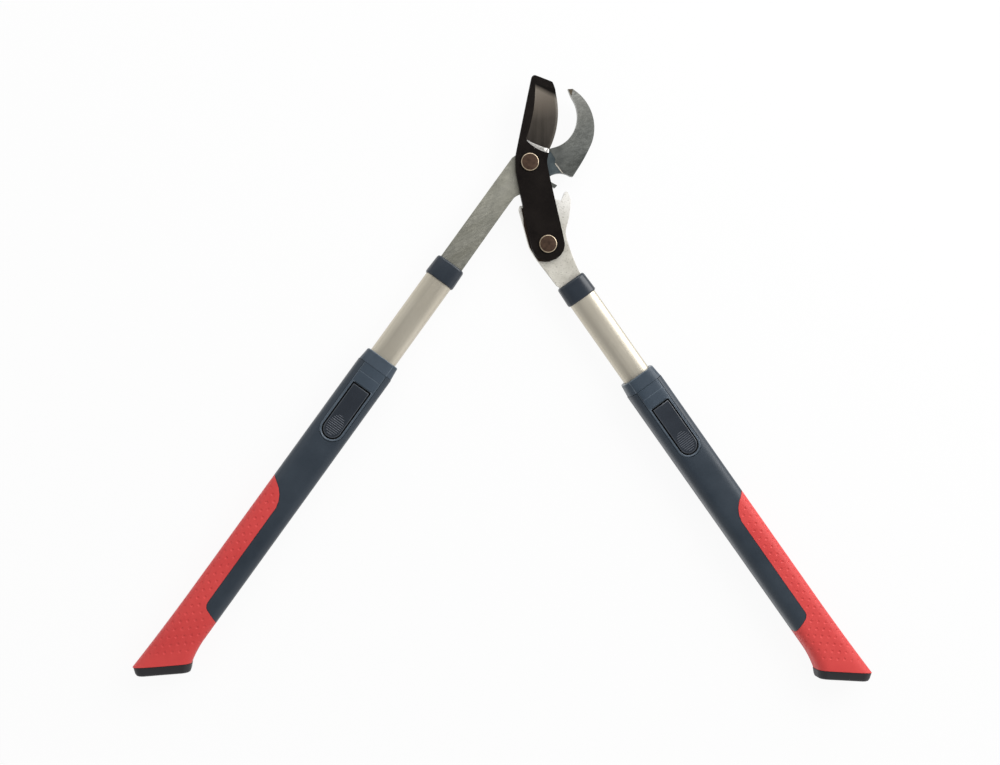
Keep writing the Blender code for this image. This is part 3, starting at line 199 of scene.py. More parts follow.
class Finish:
    # One material being put together: its tree, its shader and the pattern's own axes

    def __init__(self, name, metallic, roughness, place=None, turn=0.0, streakTurn=0.0):
        self.material = bpy.data.materials.new(name)
        self.material.use_nodes = True
        self.tree = self.material.node_tree
        self.shader = self.tree.nodes["Principled BSDF"]
        self.shader.inputs["Metallic"].default_value = metallic
        self.shader.inputs["Roughness"].default_value = roughness
        coordinates = addNode(self.tree, "ShaderNodeTexCoord")
        self.vector = self.mapped(coordinates.outputs["Object"], place, turn)
        self.streakVector = self.mapped(self.vector, None, streakTurn) if streakTurn else self.vector

    def mapped(self, source, place, turn):
        mapping = addNode(self.tree, "ShaderNodeMapping", vector_type="TEXTURE")
        mapping.inputs["Rotation"].default_value = (0, 0, turn)
        if place:
            mapping.inputs["Location"].default_value = place
        link(self.tree, source, mapping.inputs["Vector"])
        return mapping.outputs["Vector"]

    def group(self, name, **values):
        node = addNode(self.tree, "ShaderNodeGroup", node_tree=groups[name])
        link(self.tree, self.streakVector if name == "streaks" else self.vector, node.inputs["Vector"])
        for socket, value in values.items():
            node.inputs[socket].default_value = value
        return node.outputs

    def between(self, operation, other, start, end):
        node = addNode(self.tree, "ShaderNodeVectorMath", operation=operation)
        link(self.tree, self.vector, node.inputs[0])
        node.inputs[1].default_value = other
        return spread(self.tree, node.outputs["Value"], start * mm, end * mm)

    def ramped(self, direction, start, end):
        # 0 to 1 between two distances in mm along a direction
        return self.between("DOT_PRODUCT", direction, start, end)

    def ringed(self, point, near, far):
        # 0 to 1 between two distances in mm from a point
        return self.between("DISTANCE", Vector(point) * mm, near, far)

    def faint(self, mask, share):
        return mathNode(self.tree, "MULTIPLY", mask, share)

    def tone(self, mask, *colours, stops=(0.0, 1.0)):
        # Screen colours at stops along a mask
        ramp = addNode(self.tree, "ShaderNodeValToRGB")
        elements = ramp.color_ramp.elements
        while len(elements) < len(colours):
            elements.new(0.5)
        for element, stop, colour in zip(elements, stops, colours):
            element.position = stop
            element.color = shade(*colour)
        link(self.tree, mask, ramp.inputs["Fac"])
        return ramp.outputs["Color"]

    def mix(self, share, first, second):
        # Each colour is a node's or a screen colour
        node = addNode(self.tree, "ShaderNodeMix", data_type="RGBA")
        link(self.tree, share, node.inputs["Factor"])
        for socket, colour in zip([s for s in node.inputs if s.type == "RGBA"], (first, second)):
            link(self.tree, shade(*colour) if isinstance(colour, tuple) else colour, socket)
        return [s for s in node.outputs if s.type == "RGBA"][0]

    def colour(self, source):
        link(self.tree, source, self.shader.inputs["Base Color"])

    def roughness(self, mask, low, high):
        link(self.tree, spread(self.tree, mask, 0.0, 1.0, low, high), self.shader.inputs["Roughness"])

    def bump(self, height, strength, distance):
        node = addNode(self.tree, "ShaderNodeBump")
        node.inputs["Strength"].default_value = strength
        node.inputs["Distance"].default_value = distance
        link(self.tree, height, node.inputs["Height"])
        link(self.tree, node.outputs["Normal"], self.shader.inputs["Normal"])


# Steel parts
def blackCoating():
    finish = Finish("black_coated_steel", 0.0, 0.42)
    mottle = finish.group("mottle", Clouds=55.0, Specks=1400.0)
    base = finish.tone(mottle["Cloud"], (12, 8, 7), (21, 16, 13))
    finish.colour(finish.mix(mottle["Speck"], base, (32, 26, 22)))
    finish.roughness(mottle["Cloud"], 0.36, 0.5)
    finish.bump(mottle["Speck"], 0.2, 0.04 * mm)
    finish.shader.inputs["Specular IOR Level"].default_value = 0.12
    return finish.material


def cloudedMetal(name, dark, light, rough, metallic, clouds):
    finish = Finish(name, metallic, rough[0])
    mottle = finish.group("mottle", Clouds=clouds)
    finish.colour(finish.tone(mottle["Cloud"], dark, light))
    finish.roughness(mottle["Cloud"], *rough)
    return finish.material


def groundBlade():
    # Darker towards the heel, honed bright along the edge, with a painted shadow along the grind's top line
    # near the tip
    finish = Finish("ground_blade_steel", 0.85, 0.35, upperPivot, headTurn, math.radians(76))
    streaks = finish.group("streaks", Lines=1500.0, Bands=170.0, Stretch=0.05)
    rise = finish.ramped((0, 1, 0), 8, 64)
    ground = ((26, 23, 21), (60, 55, 50), (102, 94, 85), (124, 116, 106))
    base = finish.tone(rise, *ground, stops=(0.0, 0.5, 0.8, 1.0))
    base = finish.mix(finish.faint(streaks["Band"], 0.2), base, (104, 98, 90))
    honed = finish.faint(finish.ringed((-37.7, 56.6, 5), 73.4, 75.6), 0.75)
    base = finish.mix(honed, base, finish.tone(rise, (84, 78, 70), (150, 146, 138)))
    # Painted shadow along the top line of the grind
    finish.colour(finish.mix(finish.ramped((-0.603, -0.797, 0), -68.8, -64.2), (28, 24, 21), base))
    finish.roughness(streaks["Line"], 0.3, 0.48)
    finish.bump(streaks["Line"], 0.22, 0.02 * mm)
    return finish.material


def coveSteel():
    finish = Finish("bright_cut_steel", 0.9, 0.3, upperPivot, headTurn)
    streaks = finish.group("streaks", Lines=1200.0, Bands=180.0, Stretch=0.1)
    finish.colour(finish.tone(streaks["Band"], (205, 202, 196), (236, 234, 230)))
    finish.roughness(streaks["Line"], 0.24, 0.36)
    return finish.material


def hookSteel():
    # The hook is darker than the arm and lighter towards its tip, and the arm is lighter towards the head
    finish = Finish("ground_steel", 0.85, 0.36, upperPivot, headTurn, math.radians(16))
    streaks = finish.group("streaks", Lines=700.0, Bands=80.0, Stretch=0.25)
    mottle = finish.group("mottle", Clouds=55.0, Specks=1100.0)
    rise = finish.ramped((0, 1, 0), -125, -25)
    arm = finish.tone(rise, (114, 113, 100), (188, 186, 172))
    arm = finish.mix(finish.faint(streaks["Band"], 0.45), arm, (204, 203, 194))
    arm = finish.mix(finish.faint(mottle["Cloud"], 0.34), arm, (98, 101, 94))
    rise = finish.ramped((0, 1, 0), -20, 60)
    jawTones = ((84, 87, 83), (102, 105, 101), (142, 143, 137), (184, 183, 176))
    jaw = finish.tone(rise, *jawTones, stops=(0.0, 0.3, 0.6, 1.0))
    jaw = finish.mix(finish.faint(streaks["Band"], 0.42), jaw, (176, 178, 173))
    jaw = finish.mix(finish.faint(mottle["Cloud"], 0.5), jaw, (66, 69, 69))
    base = finish.mix(finish.ramped((1, 0, 0), -8, 12), arm, jaw)
    finish.colour(finish.mix(finish.faint(mottle["Speck"], 0.5), base, (128, 128, 120)))
    finish.roughness(streaks["Line"], 0.3, 0.46)
    finish.bump(streaks["Line"], 0.18, 0.02 * mm)
    return finish.material


def plainSteel(name, dark, light, rough=(0.28, 0.42), metallic=0.85, clouds=90.0):
    finish = Finish(name, metallic, rough[0])
    mottle = finish.group("mottle", Clouds=clouds, Specks=1400.0)
    base = finish.tone(mottle["Cloud"], dark, light)
    finish.colour(finish.mix(finish.faint(mottle["Speck"], 0.4), base, dark))
    finish.roughness(mottle["Cloud"], *rough)
    return finish.material


def castSteel():
    finish = Finish("cast_steel", 0.35, 0.5)
    mottle = finish.group("mottle", Clouds=70.0, Specks=620.0)
    base = finish.tone(mottle["Cloud"], (200, 196, 184), (230, 227, 217))
    horn = finish.ramped((0, 1, 0), (lowerPivot.y / mm) + 12, (lowerPivot.y / mm) + 40)
    base = finish.mix(finish.faint(horn, 0.8), base, (250, 248, 243))
    finish.colour(finish.mix(finish.faint(mottle["Speck"], 0.8), base, (168, 164, 150)))
    finish.roughness(mottle["Cloud"], 0.42, 0.58)
    finish.bump(mottle["Speck"], 0.35, 0.08 * mm)
    return finish.material


def brownRivet():
    finish = Finish("browned_steel", 0.55, 0.4, upperPivot, math.radians(60))
    streaks = finish.group("streaks", Lines=900.0, Bands=260.0, Stretch=0.25)
    mottle = finish.group("mottle", Clouds=220.0, Specks=1800.0)
    base = finish.tone(mottle["Cloud"], (56, 40, 30), (92, 70, 55))
    finish.colour(finish.mix(finish.faint(streaks["Band"], 0.6), base, (76, 58, 46)))
    finish.roughness(mottle["Cloud"], 0.34, 0.5)
    finish.bump(mottle["Speck"], 0.2, 0.03 * mm)
    return finish.material


def aluminium(sideName):
    # Drawn lines run along the tube
    down = Vector(joints[sideName + "_handle_slide"]["axis"])
    finish = Finish(sideName + "_satin_aluminium", 0.9, 0.34, None, math.atan2(down.y, down.x))
    streaks = finish.group("streaks", Lines=1600.0, Bands=160.0, Stretch=0.008)
    mottle = finish.group("mottle", Clouds=14.0, Specks=1500.0)
    base = finish.tone(mottle["Cloud"], (200, 192, 175), (214, 207, 192))
    finish.colour(finish.mix(streaks["Band"], base, (207, 200, 184)))
    finish.roughness(streaks["Line"], 0.38, 0.48)
    finish.bump(streaks["Line"], 0.1, 0.012 * mm)
    return finish.material


# Plastics and rubber
def moulded(name, dark, light, rough=(0.38, 0.5), grain=2200.0, depth=0.02):
    finish = Finish(name, 0.0, rough[0])
    mould = finish.group("grain", Grain=grain, Handling=22.0)
    finish.colour(finish.tone(mould["Worn"], dark, light))
    finish.roughness(mould["Worn"], *rough)
    finish.bump(mould["Height"], 0.12, depth * mm)
    return finish.material


finishes = {
    "black": blackCoating(),
    # edge wear and a painted highlight on the bevels of the black plates
    "edgeWearAndSheen": cloudedMetal("coating_wear_and_painted_highlight", (72, 67, 60), (126, 119, 110), (0.25, 0.42), 0.6, 160.0),
    "groundBlade": groundBlade(),
    "cove": coveSteel(),
    "hook": hookSteel(),
    "relief": plainSteel("relieved_steel", (80, 91, 96), (102, 112, 115)),
    "tip": plainSteel("tip_facet_steel", (104, 94, 80), (134, 124, 108)),
    "cast": castSteel(),
    # painted shadow of the blade on the right arm
    "paintedBladeShadow": plainSteel("steel_painted_blade_shadow", (44, 33, 26), (74, 60, 50), (0.34, 0.5), 0.5),
    "rivet": brownRivet(),
    "rim": plainSteel("rivet_rim_steel", (168, 148, 120), (224, 208, 184), (0.26, 0.36), 1.0, 200.0),
    "bright": plainSteel("bright_steel", (190, 183, 172), (220, 213, 203), (0.18, 0.32), 1.0, 200.0),
    # painted highlight on the rim of the hook's relief
    "rimHighlight": plainSteel("steel_painted_rim_highlight", (206, 198, 184), (236, 230, 219), (0.3, 0.4), 0.2, 200.0),
    "bronze": cloudedMetal("bush_bronze", (150, 112, 62), (188, 148, 92), (0.28, 0.42), 1.0, 120.0),
    "leftTube": aluminium("left"),
    "rightTube": aluminium("right"),
    # painted near-black as the shade seen through the button's slot
    "shadedTube": plainSteel("tube_painted_shade", (22, 22, 21), (34, 33, 31), (0.45, 0.6), 0.3),
    "shell": moulded("navy_shell_plastic", (36, 47, 58), (46, 57, 68)),
    "panel": moulded("navy_panel_plastic", (48, 61, 73), (58, 71, 84)),
    # painted highlight on the panel's steps, parting lines and the neck's rim
    "panelHighlight": moulded("navy_plastic_painted_highlight", (76, 87, 99), (94, 106, 117), (0.24, 0.34)),
    "collar": moulded("navy_collar_plastic", (32, 40, 50), (41, 50, 60), (0.26, 0.36)),
    "button": moulded("dark_button_plastic", (34, 40, 49), (43, 50, 59), (0.24, 0.34)),
    # painted highlight on the thumb rest's ribs
    "rib": moulded("rib_plastic_painted_highlight", (72, 77, 86), (90, 95, 104), (0.3, 0.4)),
    # painted highlight on the button's top bevel
    "buttonHighlight": moulded("button_plastic_painted_highlight", (60, 65, 72), (78, 83, 90), (0.2, 0.28)),
    "nylon": moulded("black_nylon", (28, 28, 30), (36, 36, 38)),
    "gap": moulded("shadowed_nylon", (8, 8, 9), (13, 13, 15), (0.6, 0.75)),
    "red": moulded("red_grip_rubber", (212, 60, 59), (224, 72, 69), (0.46, 0.6), 1500.0, 0.05),
    "cap": moulded("charcoal_cap_rubber", (26, 25, 29), (34, 33, 37), (0.45, 0.6)),
}
print("finishes mixed:", len(finishes))


# Mesh helpers
def nodeCopy(node):
    # A CAD node's shape with its loose triangles joined up and its flat faces made whole again
    bm = bmesh.new()
    bm.from_mesh(nodes[node].data)
    bmesh.ops.remove_doubles(bm, verts=bm.verts, dist=0.004 * mm)
    bmesh.ops.dissolve_limit(bm, angle_limit=math.radians(0.05), verts=bm.verts, edges=bm.edges)
    return bm


def easeCurves(bm):
    # The plates' arcs come as runs of flat walls, so each low corner between two walls is bevelled away
    corners = [
        e for e in bm.edges
        if e.is_manifold and abs((e.verts[0].co - e.verts[1].co).normalized().z) > 0.999
        and math.radians(3) < e.calc_face_angle(0) < math.radians(16)
    ]
    bmesh.ops.bevel(
        bm, geom=corners, offset=40, offset_type="PERCENT", affect="EDGES", segments=3, profile=0.5,
        material=-1, clamp_overlap=True,
    )
    return bm


mostMaterials = 4  # on any one piece


def carve(bm, cutter, operation="DIFFERENCE"):
    # Booleans are modifiers, so both shapes are objects for a moment
    holders = []
    for shape in (bm, cutter):
        mesh = bpy.data.meshes.new("carving")
        shape.to_mesh(mesh)
        shape.free()
        for slot in range(mostMaterials):
            mesh.materials.append(None)
        holders.append(addObject("carving", mesh))
    cutting = holders[0].modifiers.new("carving", "BOOLEAN")
    cutting.operation = operation
    cutting.object = holders[1]
    cutting.solver = "EXACT"
    bpy.context.view_layer.update()
    graph = bpy.context.evaluated_depsgraph_get()
    result = bmesh.new()
    result.from_mesh(holders[0].evaluated_get(graph).to_mesh())
    for holder in holders:
        mesh = holder.data
        bpy.data.objects.remove(holder)
        bpy.data.meshes.remove(mesh)
    return result


def roundEdges(bm, width, segments=2, sharper=30, material=-1, keep=None):
    edges = [
        e for e in bm.edges
        if e.is_manifold and e.calc_face_angle(0) > math.radians(sharper) and (keep is None or keep(e))
    ]
    bmesh.ops.bevel(
        bm, geom=edges, offset=width, affect="EDGES", segments=segments, profile=0.5, material=material,
        clamp_overlap=True,
    )
    return bm


def moved(bm, matrix):
    bmesh.ops.transform(bm, matrix=matrix, verts=bm.verts)
    return bm


def painted(bm, material):
    for face in bm.faces:
        face.material_index = material
    return bm


def finishPiece(name, bm, body, materials, stands, sharper=35):
    mesh = bpy.data.meshes.new(name)
    bm.to_mesh(mesh)
    bm.free()
    mesh.shade_smooth()
    mesh.set_sharp_from_angle(angle=math.radians(sharper))
    for material in materials:
        mesh.materials.append(finishes[material])
    piece = addObject(name, mesh)
    flat = piece.modifiers.new("flatFaces", "WEIGHTED_NORMAL")
    flat.keep_sharp = True
    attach(piece, body)
    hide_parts(stands)
    return piece


def extrudeOutline(points, low, high):
    # A plate from a run of plan points: the first face is pulled up to its thickness
    bm = bmesh.new()
    face = bm.faces.new([bm.verts.new((p[0], p[1], low)) for p in points])
    pulled = bmesh.ops.extrude_face_region(bm, geom=[face])["geom"]
    top = [v for v in pulled if isinstance(v, bmesh.types.BMVert)]
    bmesh.ops.translate(bm, verts=top, vec=(0, 0, high - low))
    bmesh.ops.recalc_face_normals(bm, faces=bm.faces)
    return bm


def bow(start, end, bulge, steps):
    # Plan points on an arc that bulges to the right of the line from start to end
    start, end = Vector(start), Vector(end)
    chord = end - start
    right = Vector((chord.y, -chord.x)).normalized()
    radius = ((chord.length / 2) ** 2 + bulge * bulge) / (2 * bulge)
    centre = (start + end) / 2 + right * (bulge - radius)
    first = start - centre
    turn = math.remainder(
        math.atan2(end.y - centre.y, end.x - centre.x) - math.atan2(first.y, first.x), math.tau
    )
    return [centre + Matrix.Rotation(turn * i / steps, 2) @ first for i in range(steps + 1)]


def plan(*points):
    return [Vector(point) * mm for point in points]


# Blade, with a hollow-ground face that ends in a bright cove
blade = {
    "edgeRounding": 0.7 * mm,
    "grindStart": (0.9, 21.3),
    "grindEnd": (20.9, 70.3),
    "grindBow": 2.6 * mm,
    "grindWidth": 26 * mm,
    "grindSteps": 14,
    "grindLeast": 0.02 * mm,
    "pastEdge": ((40.5, 56.0), (55.0, 50.0), (50.0, -5.0)),
    "platesGap": 3.3 * mm,
    "thickness": 4 * mm,
    "edgeThickness": 0.65 * mm,
    # Where the cove meets the ground face, how it runs on and its bow
    "coveFoot": ((20.5, 8.6), (25.0, 5.8), 0.5 * mm),
    "coveTop": ((19.4, 4.5), (25.0, 0.6), 2.2 * mm),
    "coveSteps": 16,
    "coveFill": (
        (2.0, 19.9), (12.0, 12.3), (19.95, 6.35), (20.7, 7.9), (21.6, 9.6), (14.0, 14.0), (3.0, 20.8),
    ),
    "fillDepths": (3.4 * mm, 0.01 * mm),
    "tipRun": 1.3,
    "overshoot": 0.3 * mm,
}


def makeBlade():
    front = blade["platesGap"] + blade["thickness"]
    start, end = plan(blade["grindStart"], blade["grindEnd"])
    line = (end - start).normalized()
    across = Vector((line.y, -line.x))
    slope = (blade["thickness"] - blade["edgeThickness"]) / blade["grindWidth"]
    grindLine = bow(start, end, blade["grindBow"], blade["grindSteps"])

    def coveLine(place):
        meets, onward = plan(*place[:2])
        return [onward] + bow(start, meets, place[2], blade["coveSteps"])[:0:-1]

    floor = grindLine + plan(*blade["pastEdge"]) + coveLine(blade["coveFoot"])
    brim = grindLine + plan(*blade["pastEdge"]) + coveLine(blade["coveTop"])

    def depth(p):
        return max(0, slope * (p - start).dot(across)) + blade["grindLeast"]

    # The wheel's path: a sloping floor, with a cove that rises from it to the face at the heel
    bm = bmesh.new()
    face = bm.faces.new([bm.verts.new((p.x, p.y, front - depth(p))) for p in floor])
    pulled = bmesh.ops.extrude_face_region(bm, geom=[face])["geom"]
    for vert in [v for v in pulled if isinstance(v, bmesh.types.BMVert)]:
        i = min(range(len(floor)), key=lambda k: (floor[k] - vert.co.xy).length)
        deep = depth(floor[i])
        p = floor[i] + (brim[i] - floor[i]) * (deep + blade["overshoot"]) / deep
        if i == len(grindLine):
            p += line * (deep + blade["overshoot"]) * blade["tipRun"]
        vert.co = (p.x, p.y, front + blade["overshoot"])
    bmesh.ops.recalc_face_normals(bm, faces=bm.faces)

    low, high = blade["fillDepths"]
    fill = moved(extrudeOutline(plan(*blade["coveFill"]), front - low, front - high), headPlace)
    shape = carve(carve(easeCurves(nodeCopy("blade")), fill, "UNION"), moved(bm, headPlace))
    toHead = headPlace.inverted()
    for face in shape.faces:
        centre = toHead @ face.calc_center_median()
        lean = face.normal.z
        if 0.3 < lean and centre.z < front - 0.005 * mm and centre.y < 55 * mm:
            inside = (Vector((centre.x, centre.y)) - start).dot(across)
            face.material_index = 1 if lean > 0.97 and inside > 0 else 2

    def plain(edge):
        # Not the long line where the grind starts, nor the cutting edge itself
        return all(f.material_index == 0 for f in edge.link_faces)

    # The bevelled edges are painted lighter, as both worn coating and a highlight
    roundEdges(shape, blade["edgeRounding"], 2, 40, 3, plain)
    materials = ("black", "groundBlade", "cove", "edgeWearAndSheen")
    return finishPiece("blade_plate", shape, "blade_side", materials, "blade")


makeBlade()
print("blade ground")

# Hook plate: the hook and the left arm are one ground plate, relieved round the pivot
hook = {
    "face": 3.0 * mm,
    "relief": 0.35 * mm,
    "reliefPlan": (
        (20.9, 8.4), (25.0, -1.6), (23.4, -6.1), (28.4, -17.2),
        (14.0, -17.8), (2.0, -14.0), (-9.0, -8.0), (-9.0, 8.0),
    ),
    "rimHighlightStrip": ((22.8, -6.4), (27.8, -17.5), (29.4, -16.8), (24.3, -5.6)),
    "rimHighlightDepth": 0.1 * mm,
    "tipFacet": ((56.4, 60.5), (51.9, 51.6)),
    "tipFall": (1.3, 3.4),  # how far the facet goes down, over its width
    "tipReach": 9 * mm,
    "tipLeast": 4 * mm * mm,
    "blockSize": 16 * mm,
    "edgeRounding": 0.45 * mm,
}
above = 2 * mm  # how far a cutter stands above the face that it cuts


def makeHook():
    face, block = hook["face"], hook["blockSize"]
    relief = moved(extrudeOutline(plan(*hook["reliefPlan"]), face - hook["relief"], face + above), headPlace)
    shape = carve(roundEdges(easeCurves(nodeCopy("hook_arm")), hook["edgeRounding"], 2, 50), relief)

    facet = bmesh.new()  # a block turned so that its underside slopes down to the hook's tip
    bmesh.ops.create_cube(facet, size=block)
    bmesh.ops.translate(facet, verts=facet.verts, vec=(0, block / 2, block / 2))
    fall = math.atan2(-hook["tipFall"][0], hook["tipFall"][1])
    bmesh.ops.rotate(facet, verts=facet.verts, matrix=Matrix.Rotation(fall, 3, "X"))
    first, last = plan(*hook["tipFacet"])
    run = first - last
    bmesh.ops.rotate(facet, verts=facet.verts, matrix=Matrix.Rotation(math.atan2(run.y, run.x), 3, "Z"))
    bmesh.ops.translate(facet, verts=facet.verts, vec=(*((first + last) / 2), face))
    # A shallow strip along the relief's rim, painted bright as the highlight on that rim
    rimHighlightStrip = extrudeOutline(plan(*hook["rimHighlightStrip"]), face - hook["rimHighlightDepth"], face + above)
    shape = carve(carve(shape, moved(facet, headPlace)), moved(painted(rimHighlightStrip, 3), headPlace))

    toHead = headPlace.inverted()
    for made in shape.faces:
        centre = toHead @ made.calc_center_median()
        nearTip = (centre.xy - first).length < hook["tipReach"]
        if made.normal.z > 0.999 and centre.z < face - 0.2 * mm and centre.z > 0:
            made.material_index = 1
        elif 0.8 < made.normal.z < 0.995 and nearTip and made.calc_area() > hook["tipLeast"]:
            made.material_index = 2
    materials = ("hook", "relief", "tip", "rimHighlight")
    return finishPiece("hook_plate", shape, "hook_side", materials, "hook_arm")


# Right arm: a plate with a cast skin and softer edges, and a shallow recess by the blade painted dark brown
# as the blade's shadow on the arm
rightArm = {
    "face": 3.0 * mm,
    "edgeRounding": 0.7 * mm,
    "paintedShadowDepth": 0.12 * mm,
    "paintedShadowPlan": (
        (-17.0, 38.0), (-17.2, 28.0), (-19.5, 16.0), (-19.0, 0.0), (-15.6, -5.7),
        (-13.5, -13.5), (-5.7, -15.8), (-1.4, -16.4), (6.0, -14.0), (3.0, 38.0),
    ),
}


def makeRightArm():
    face, depth = rightArm["face"], rightArm["paintedShadowDepth"]
    paintedBladeShadow = moved(extrudeOutline(plan(*rightArm["paintedShadowPlan"]), face - depth, face + 1 * mm), armPlace)
    shape = carve(roundEdges(easeCurves(nodeCopy("right_arm")), rightArm["edgeRounding"], 3, 40), paintedBladeShadow)
    # The recess floor and the arm's upward faces left of the blade take the painted shadow
    toArm = armPlace.inverted()
    for made in shape.faces:
        centre = toArm @ made.calc_center_median()
        floor = made.normal.z > 0.999 and abs(centre.z - face + depth) < 0.01 * mm
        shoulder = made.normal.z > 0.1 and centre.x < -8 * mm and -13 * mm < centre.y < 17 * mm
        if floor or shoulder:
            made.material_index = 1
    materials = ("cast", "paintedBladeShadow")
    return finishPiece("right_arm_casting", shape, "right_arm_side", materials, "right_arm")


# Pivot rivets, turned from one profile
rivet = {
    "profile": (
        (0, 9.2), (7.6, 9.2), (8.15, 8.85), (8.45, 8.45), (8.5, 7.6), (5, 7.6),
        (5, -9), (7.2, -9), (7.2, -10.0), (6.8, -10.4), (0, -10.4),
    ),
    "steps": 64,
}


def makeRivet(name, centre, node):
    bm = bmesh.new()
    points = [bm.verts.new((r * mm, 0, z * mm)) for r, z in rivet["profile"]]
    edges = [bm.edges.new(pair) for pair in zip(points, points[1:])]
    bmesh.ops.spin(
        bm, geom=points + edges, cent=(0, 0, 0), axis=(0, 0, 1), angle=math.tau, steps=rivet["steps"],
        use_merge=True,
    )
    bmesh.ops.remove_doubles(bm, verts=bm.verts, dist=0.001 * mm)
    bmesh.ops.recalc_face_normals(bm, faces=bm.faces)
    for face in bm.faces:
        top = face.normal.z > 0.95 and face.calc_center_median().z > 9 * mm
        face.material_index = 0 if top else 1
    bmesh.ops.translate(bm, verts=bm.verts, vec=centre)
    return finishPiece(name, bm, "blade_side", ("rivet", "rim"), node, 50)


# Rear link plate and washers keep their shapes and get softened edges
rear = {"plateRounding": 0.5 * mm, "washerRounding": 0.2 * mm}


def makeRear():
    # The bevelled edges are painted lighter, as both worn coating and a highlight
    shape = roundEdges(nodeCopy("rear_link_plate"), rear["plateRounding"], 2, 40, 1)
    materials = ("black", "edgeWearAndSheen")
    finishPiece("rear_link", shape, "blade_side", materials, "rear_link_plate")
    for level in ("upper", "lower"):
        node = level + "_rear_washer"
        shape = roundEdges(nodeCopy(node), rear["washerRounding"], 2, 40)
        finishPiece(level + "_washer", shape, "blade_side", ("bright",), node)


makeHook()
makeRightArm()
makeRivet("upper_rivet", upperPivot, "upper_pivot_pin")
makeRivet("lower_rivet", lowerPivot, "lower_pivot_pin")
makeRear()
print("head dressed")


# Shapes in a handle's own axes, in millimetres from the middle of its collar's top
def gather(shapes):
    bm = bmesh.new()
    for shape in shapes:
        mesh = bpy.data.meshes.new("gathered")
        shape.to_mesh(mesh)
        shape.free()
        bm.from_mesh(mesh)
        bpy.data.meshes.remove(mesh)
    return bm


def local(sideName, node):
    return moved(nodeCopy(f"{sideName}_{node}"), places[sideName].inverted())


def finishSide(sideName, name, node, shape, body, materials, sharper=35):
    shape = moved(shape, places[sideName])
    return finishPiece(
        f"{sideName}_{name}", shape, body, materials, f"{sideName}_{node}", sharper
    )


fixedBody = {"left": "hook_side", "right": "right_arm_side"}
barSteps = 96


# A softly crowned bar along a handle: its sections are squared ovals, given as
# distance, outer half width, inner half width, half depth and how square they are
def crownedBar(sideName, stations):
    bm = bmesh.new()
    loops = []
    for at, outer, inner, deep, square in stations:
        ring = bmesh.ops.create_circle(bm, segments=barSteps, radius=1)["verts"]
        for vert in ring:
            x, z = vert.co.x, vert.co.y
            reach = (abs(x) ** square + abs(z) ** square) ** (-1 / square)
            across = x * reach * (outer + inner) / 2 + (outer - inner) / 2
            vert.co = Vector((sides[sideName] * across, -at, z * reach * deep)) * mm
        loops.append(list({e for v in ring for e in v.link_edges}))
    for upper, lower in zip(loops, loops[1:]):
        bmesh.ops.bridge_loops(bm, edges=upper + lower)
    bmesh.ops.edgeloop_fill(bm, edges=[e for e in bm.edges if e.is_boundary])
    bmesh.ops.recalc_face_normals(bm, faces=bm.faces)
    return bm


def skimmed(sideName, cutter, stations, depth, material):
    # What a cutter takes out of a crowned surface when it goes down to a depth below it
    core = [
        (at, outer - depth, inner - depth, deep - depth, square)
        for at, outer, inner, deep, square in stations
    ]
    return painted(carve(cutter, crownedBar(sideName, core)), material)


def cutOff(bm, place, outward):
    # Takes away what lies beyond a plane, and closes the cut
    everything = bm.verts[:] + bm.edges[:] + bm.faces[:]
    bmesh.ops.bisect_plane(bm, geom=everything, plane_co=place, plane_no=outward, clear_outer=True)
    bmesh.ops.edgeloop_fill(bm, edges=[e for e in bm.edges if e.is_boundary])
    return bm


def sawBlock(centre, size):
    saw = bmesh.new()
    bmesh.ops.create_cube(saw, size=1)
    bmesh.ops.scale(saw, verts=saw.verts, vec=Vector(size) * mm)
    bmesh.ops.translate(saw, verts=saw.verts, vec=Vector(centre) * mm)
    return saw


# Collar: a moulded ferrule with rolled ends
collar = (
    (0.02, 12.9, 12.9, 8.2, 2.9), (0.4, 13.75, 13.75, 9.05, 2.9), (1.1, 14.35, 14.35, 9.65, 2.9),
    (2.2, 14.7, 14.7, 10.0, 2.9), (18.2, 15.3, 15.3, 10.6, 2.9), (19.2, 15.1, 15.1, 10.4, 2.9),
    (19.8, 14.75, 14.75, 10.05, 2.9), (20.18, 14.2, 14.2, 9.5, 2.9),
)


def makeCollar(sideName):
    shape = carve(local(sideName, "collar"), crownedBar(sideName, collar), "INTERSECT")
    body = fixedBody[sideName]
    return finishSide(sideName, "ferrule", "collar", shape, body, ("collar",), 50)


# Tube: drawn with a slightly crowned face, and a broken edge at each lock hole
tube = {
    "sections": ((-1, 13.69, 13.69, 8.99, 2.9), (440, 13.69, 13.69, 8.99, 2.9)),
    "edgeRounding": 0.25 * mm,
}


def makeTube(sideName):
    shape = carve(local(sideName, "inner_tube"), crownedBar(sideName, tube["sections"]), "INTERSECT")
    roundEdges(shape, tube["edgeRounding"], 2, 50)
    body, materials = fixedBody[sideName], (sideName + "Tube",)
    return finishSide(sideName, "drawn_tube", "inner_tube", shape, body, materials)


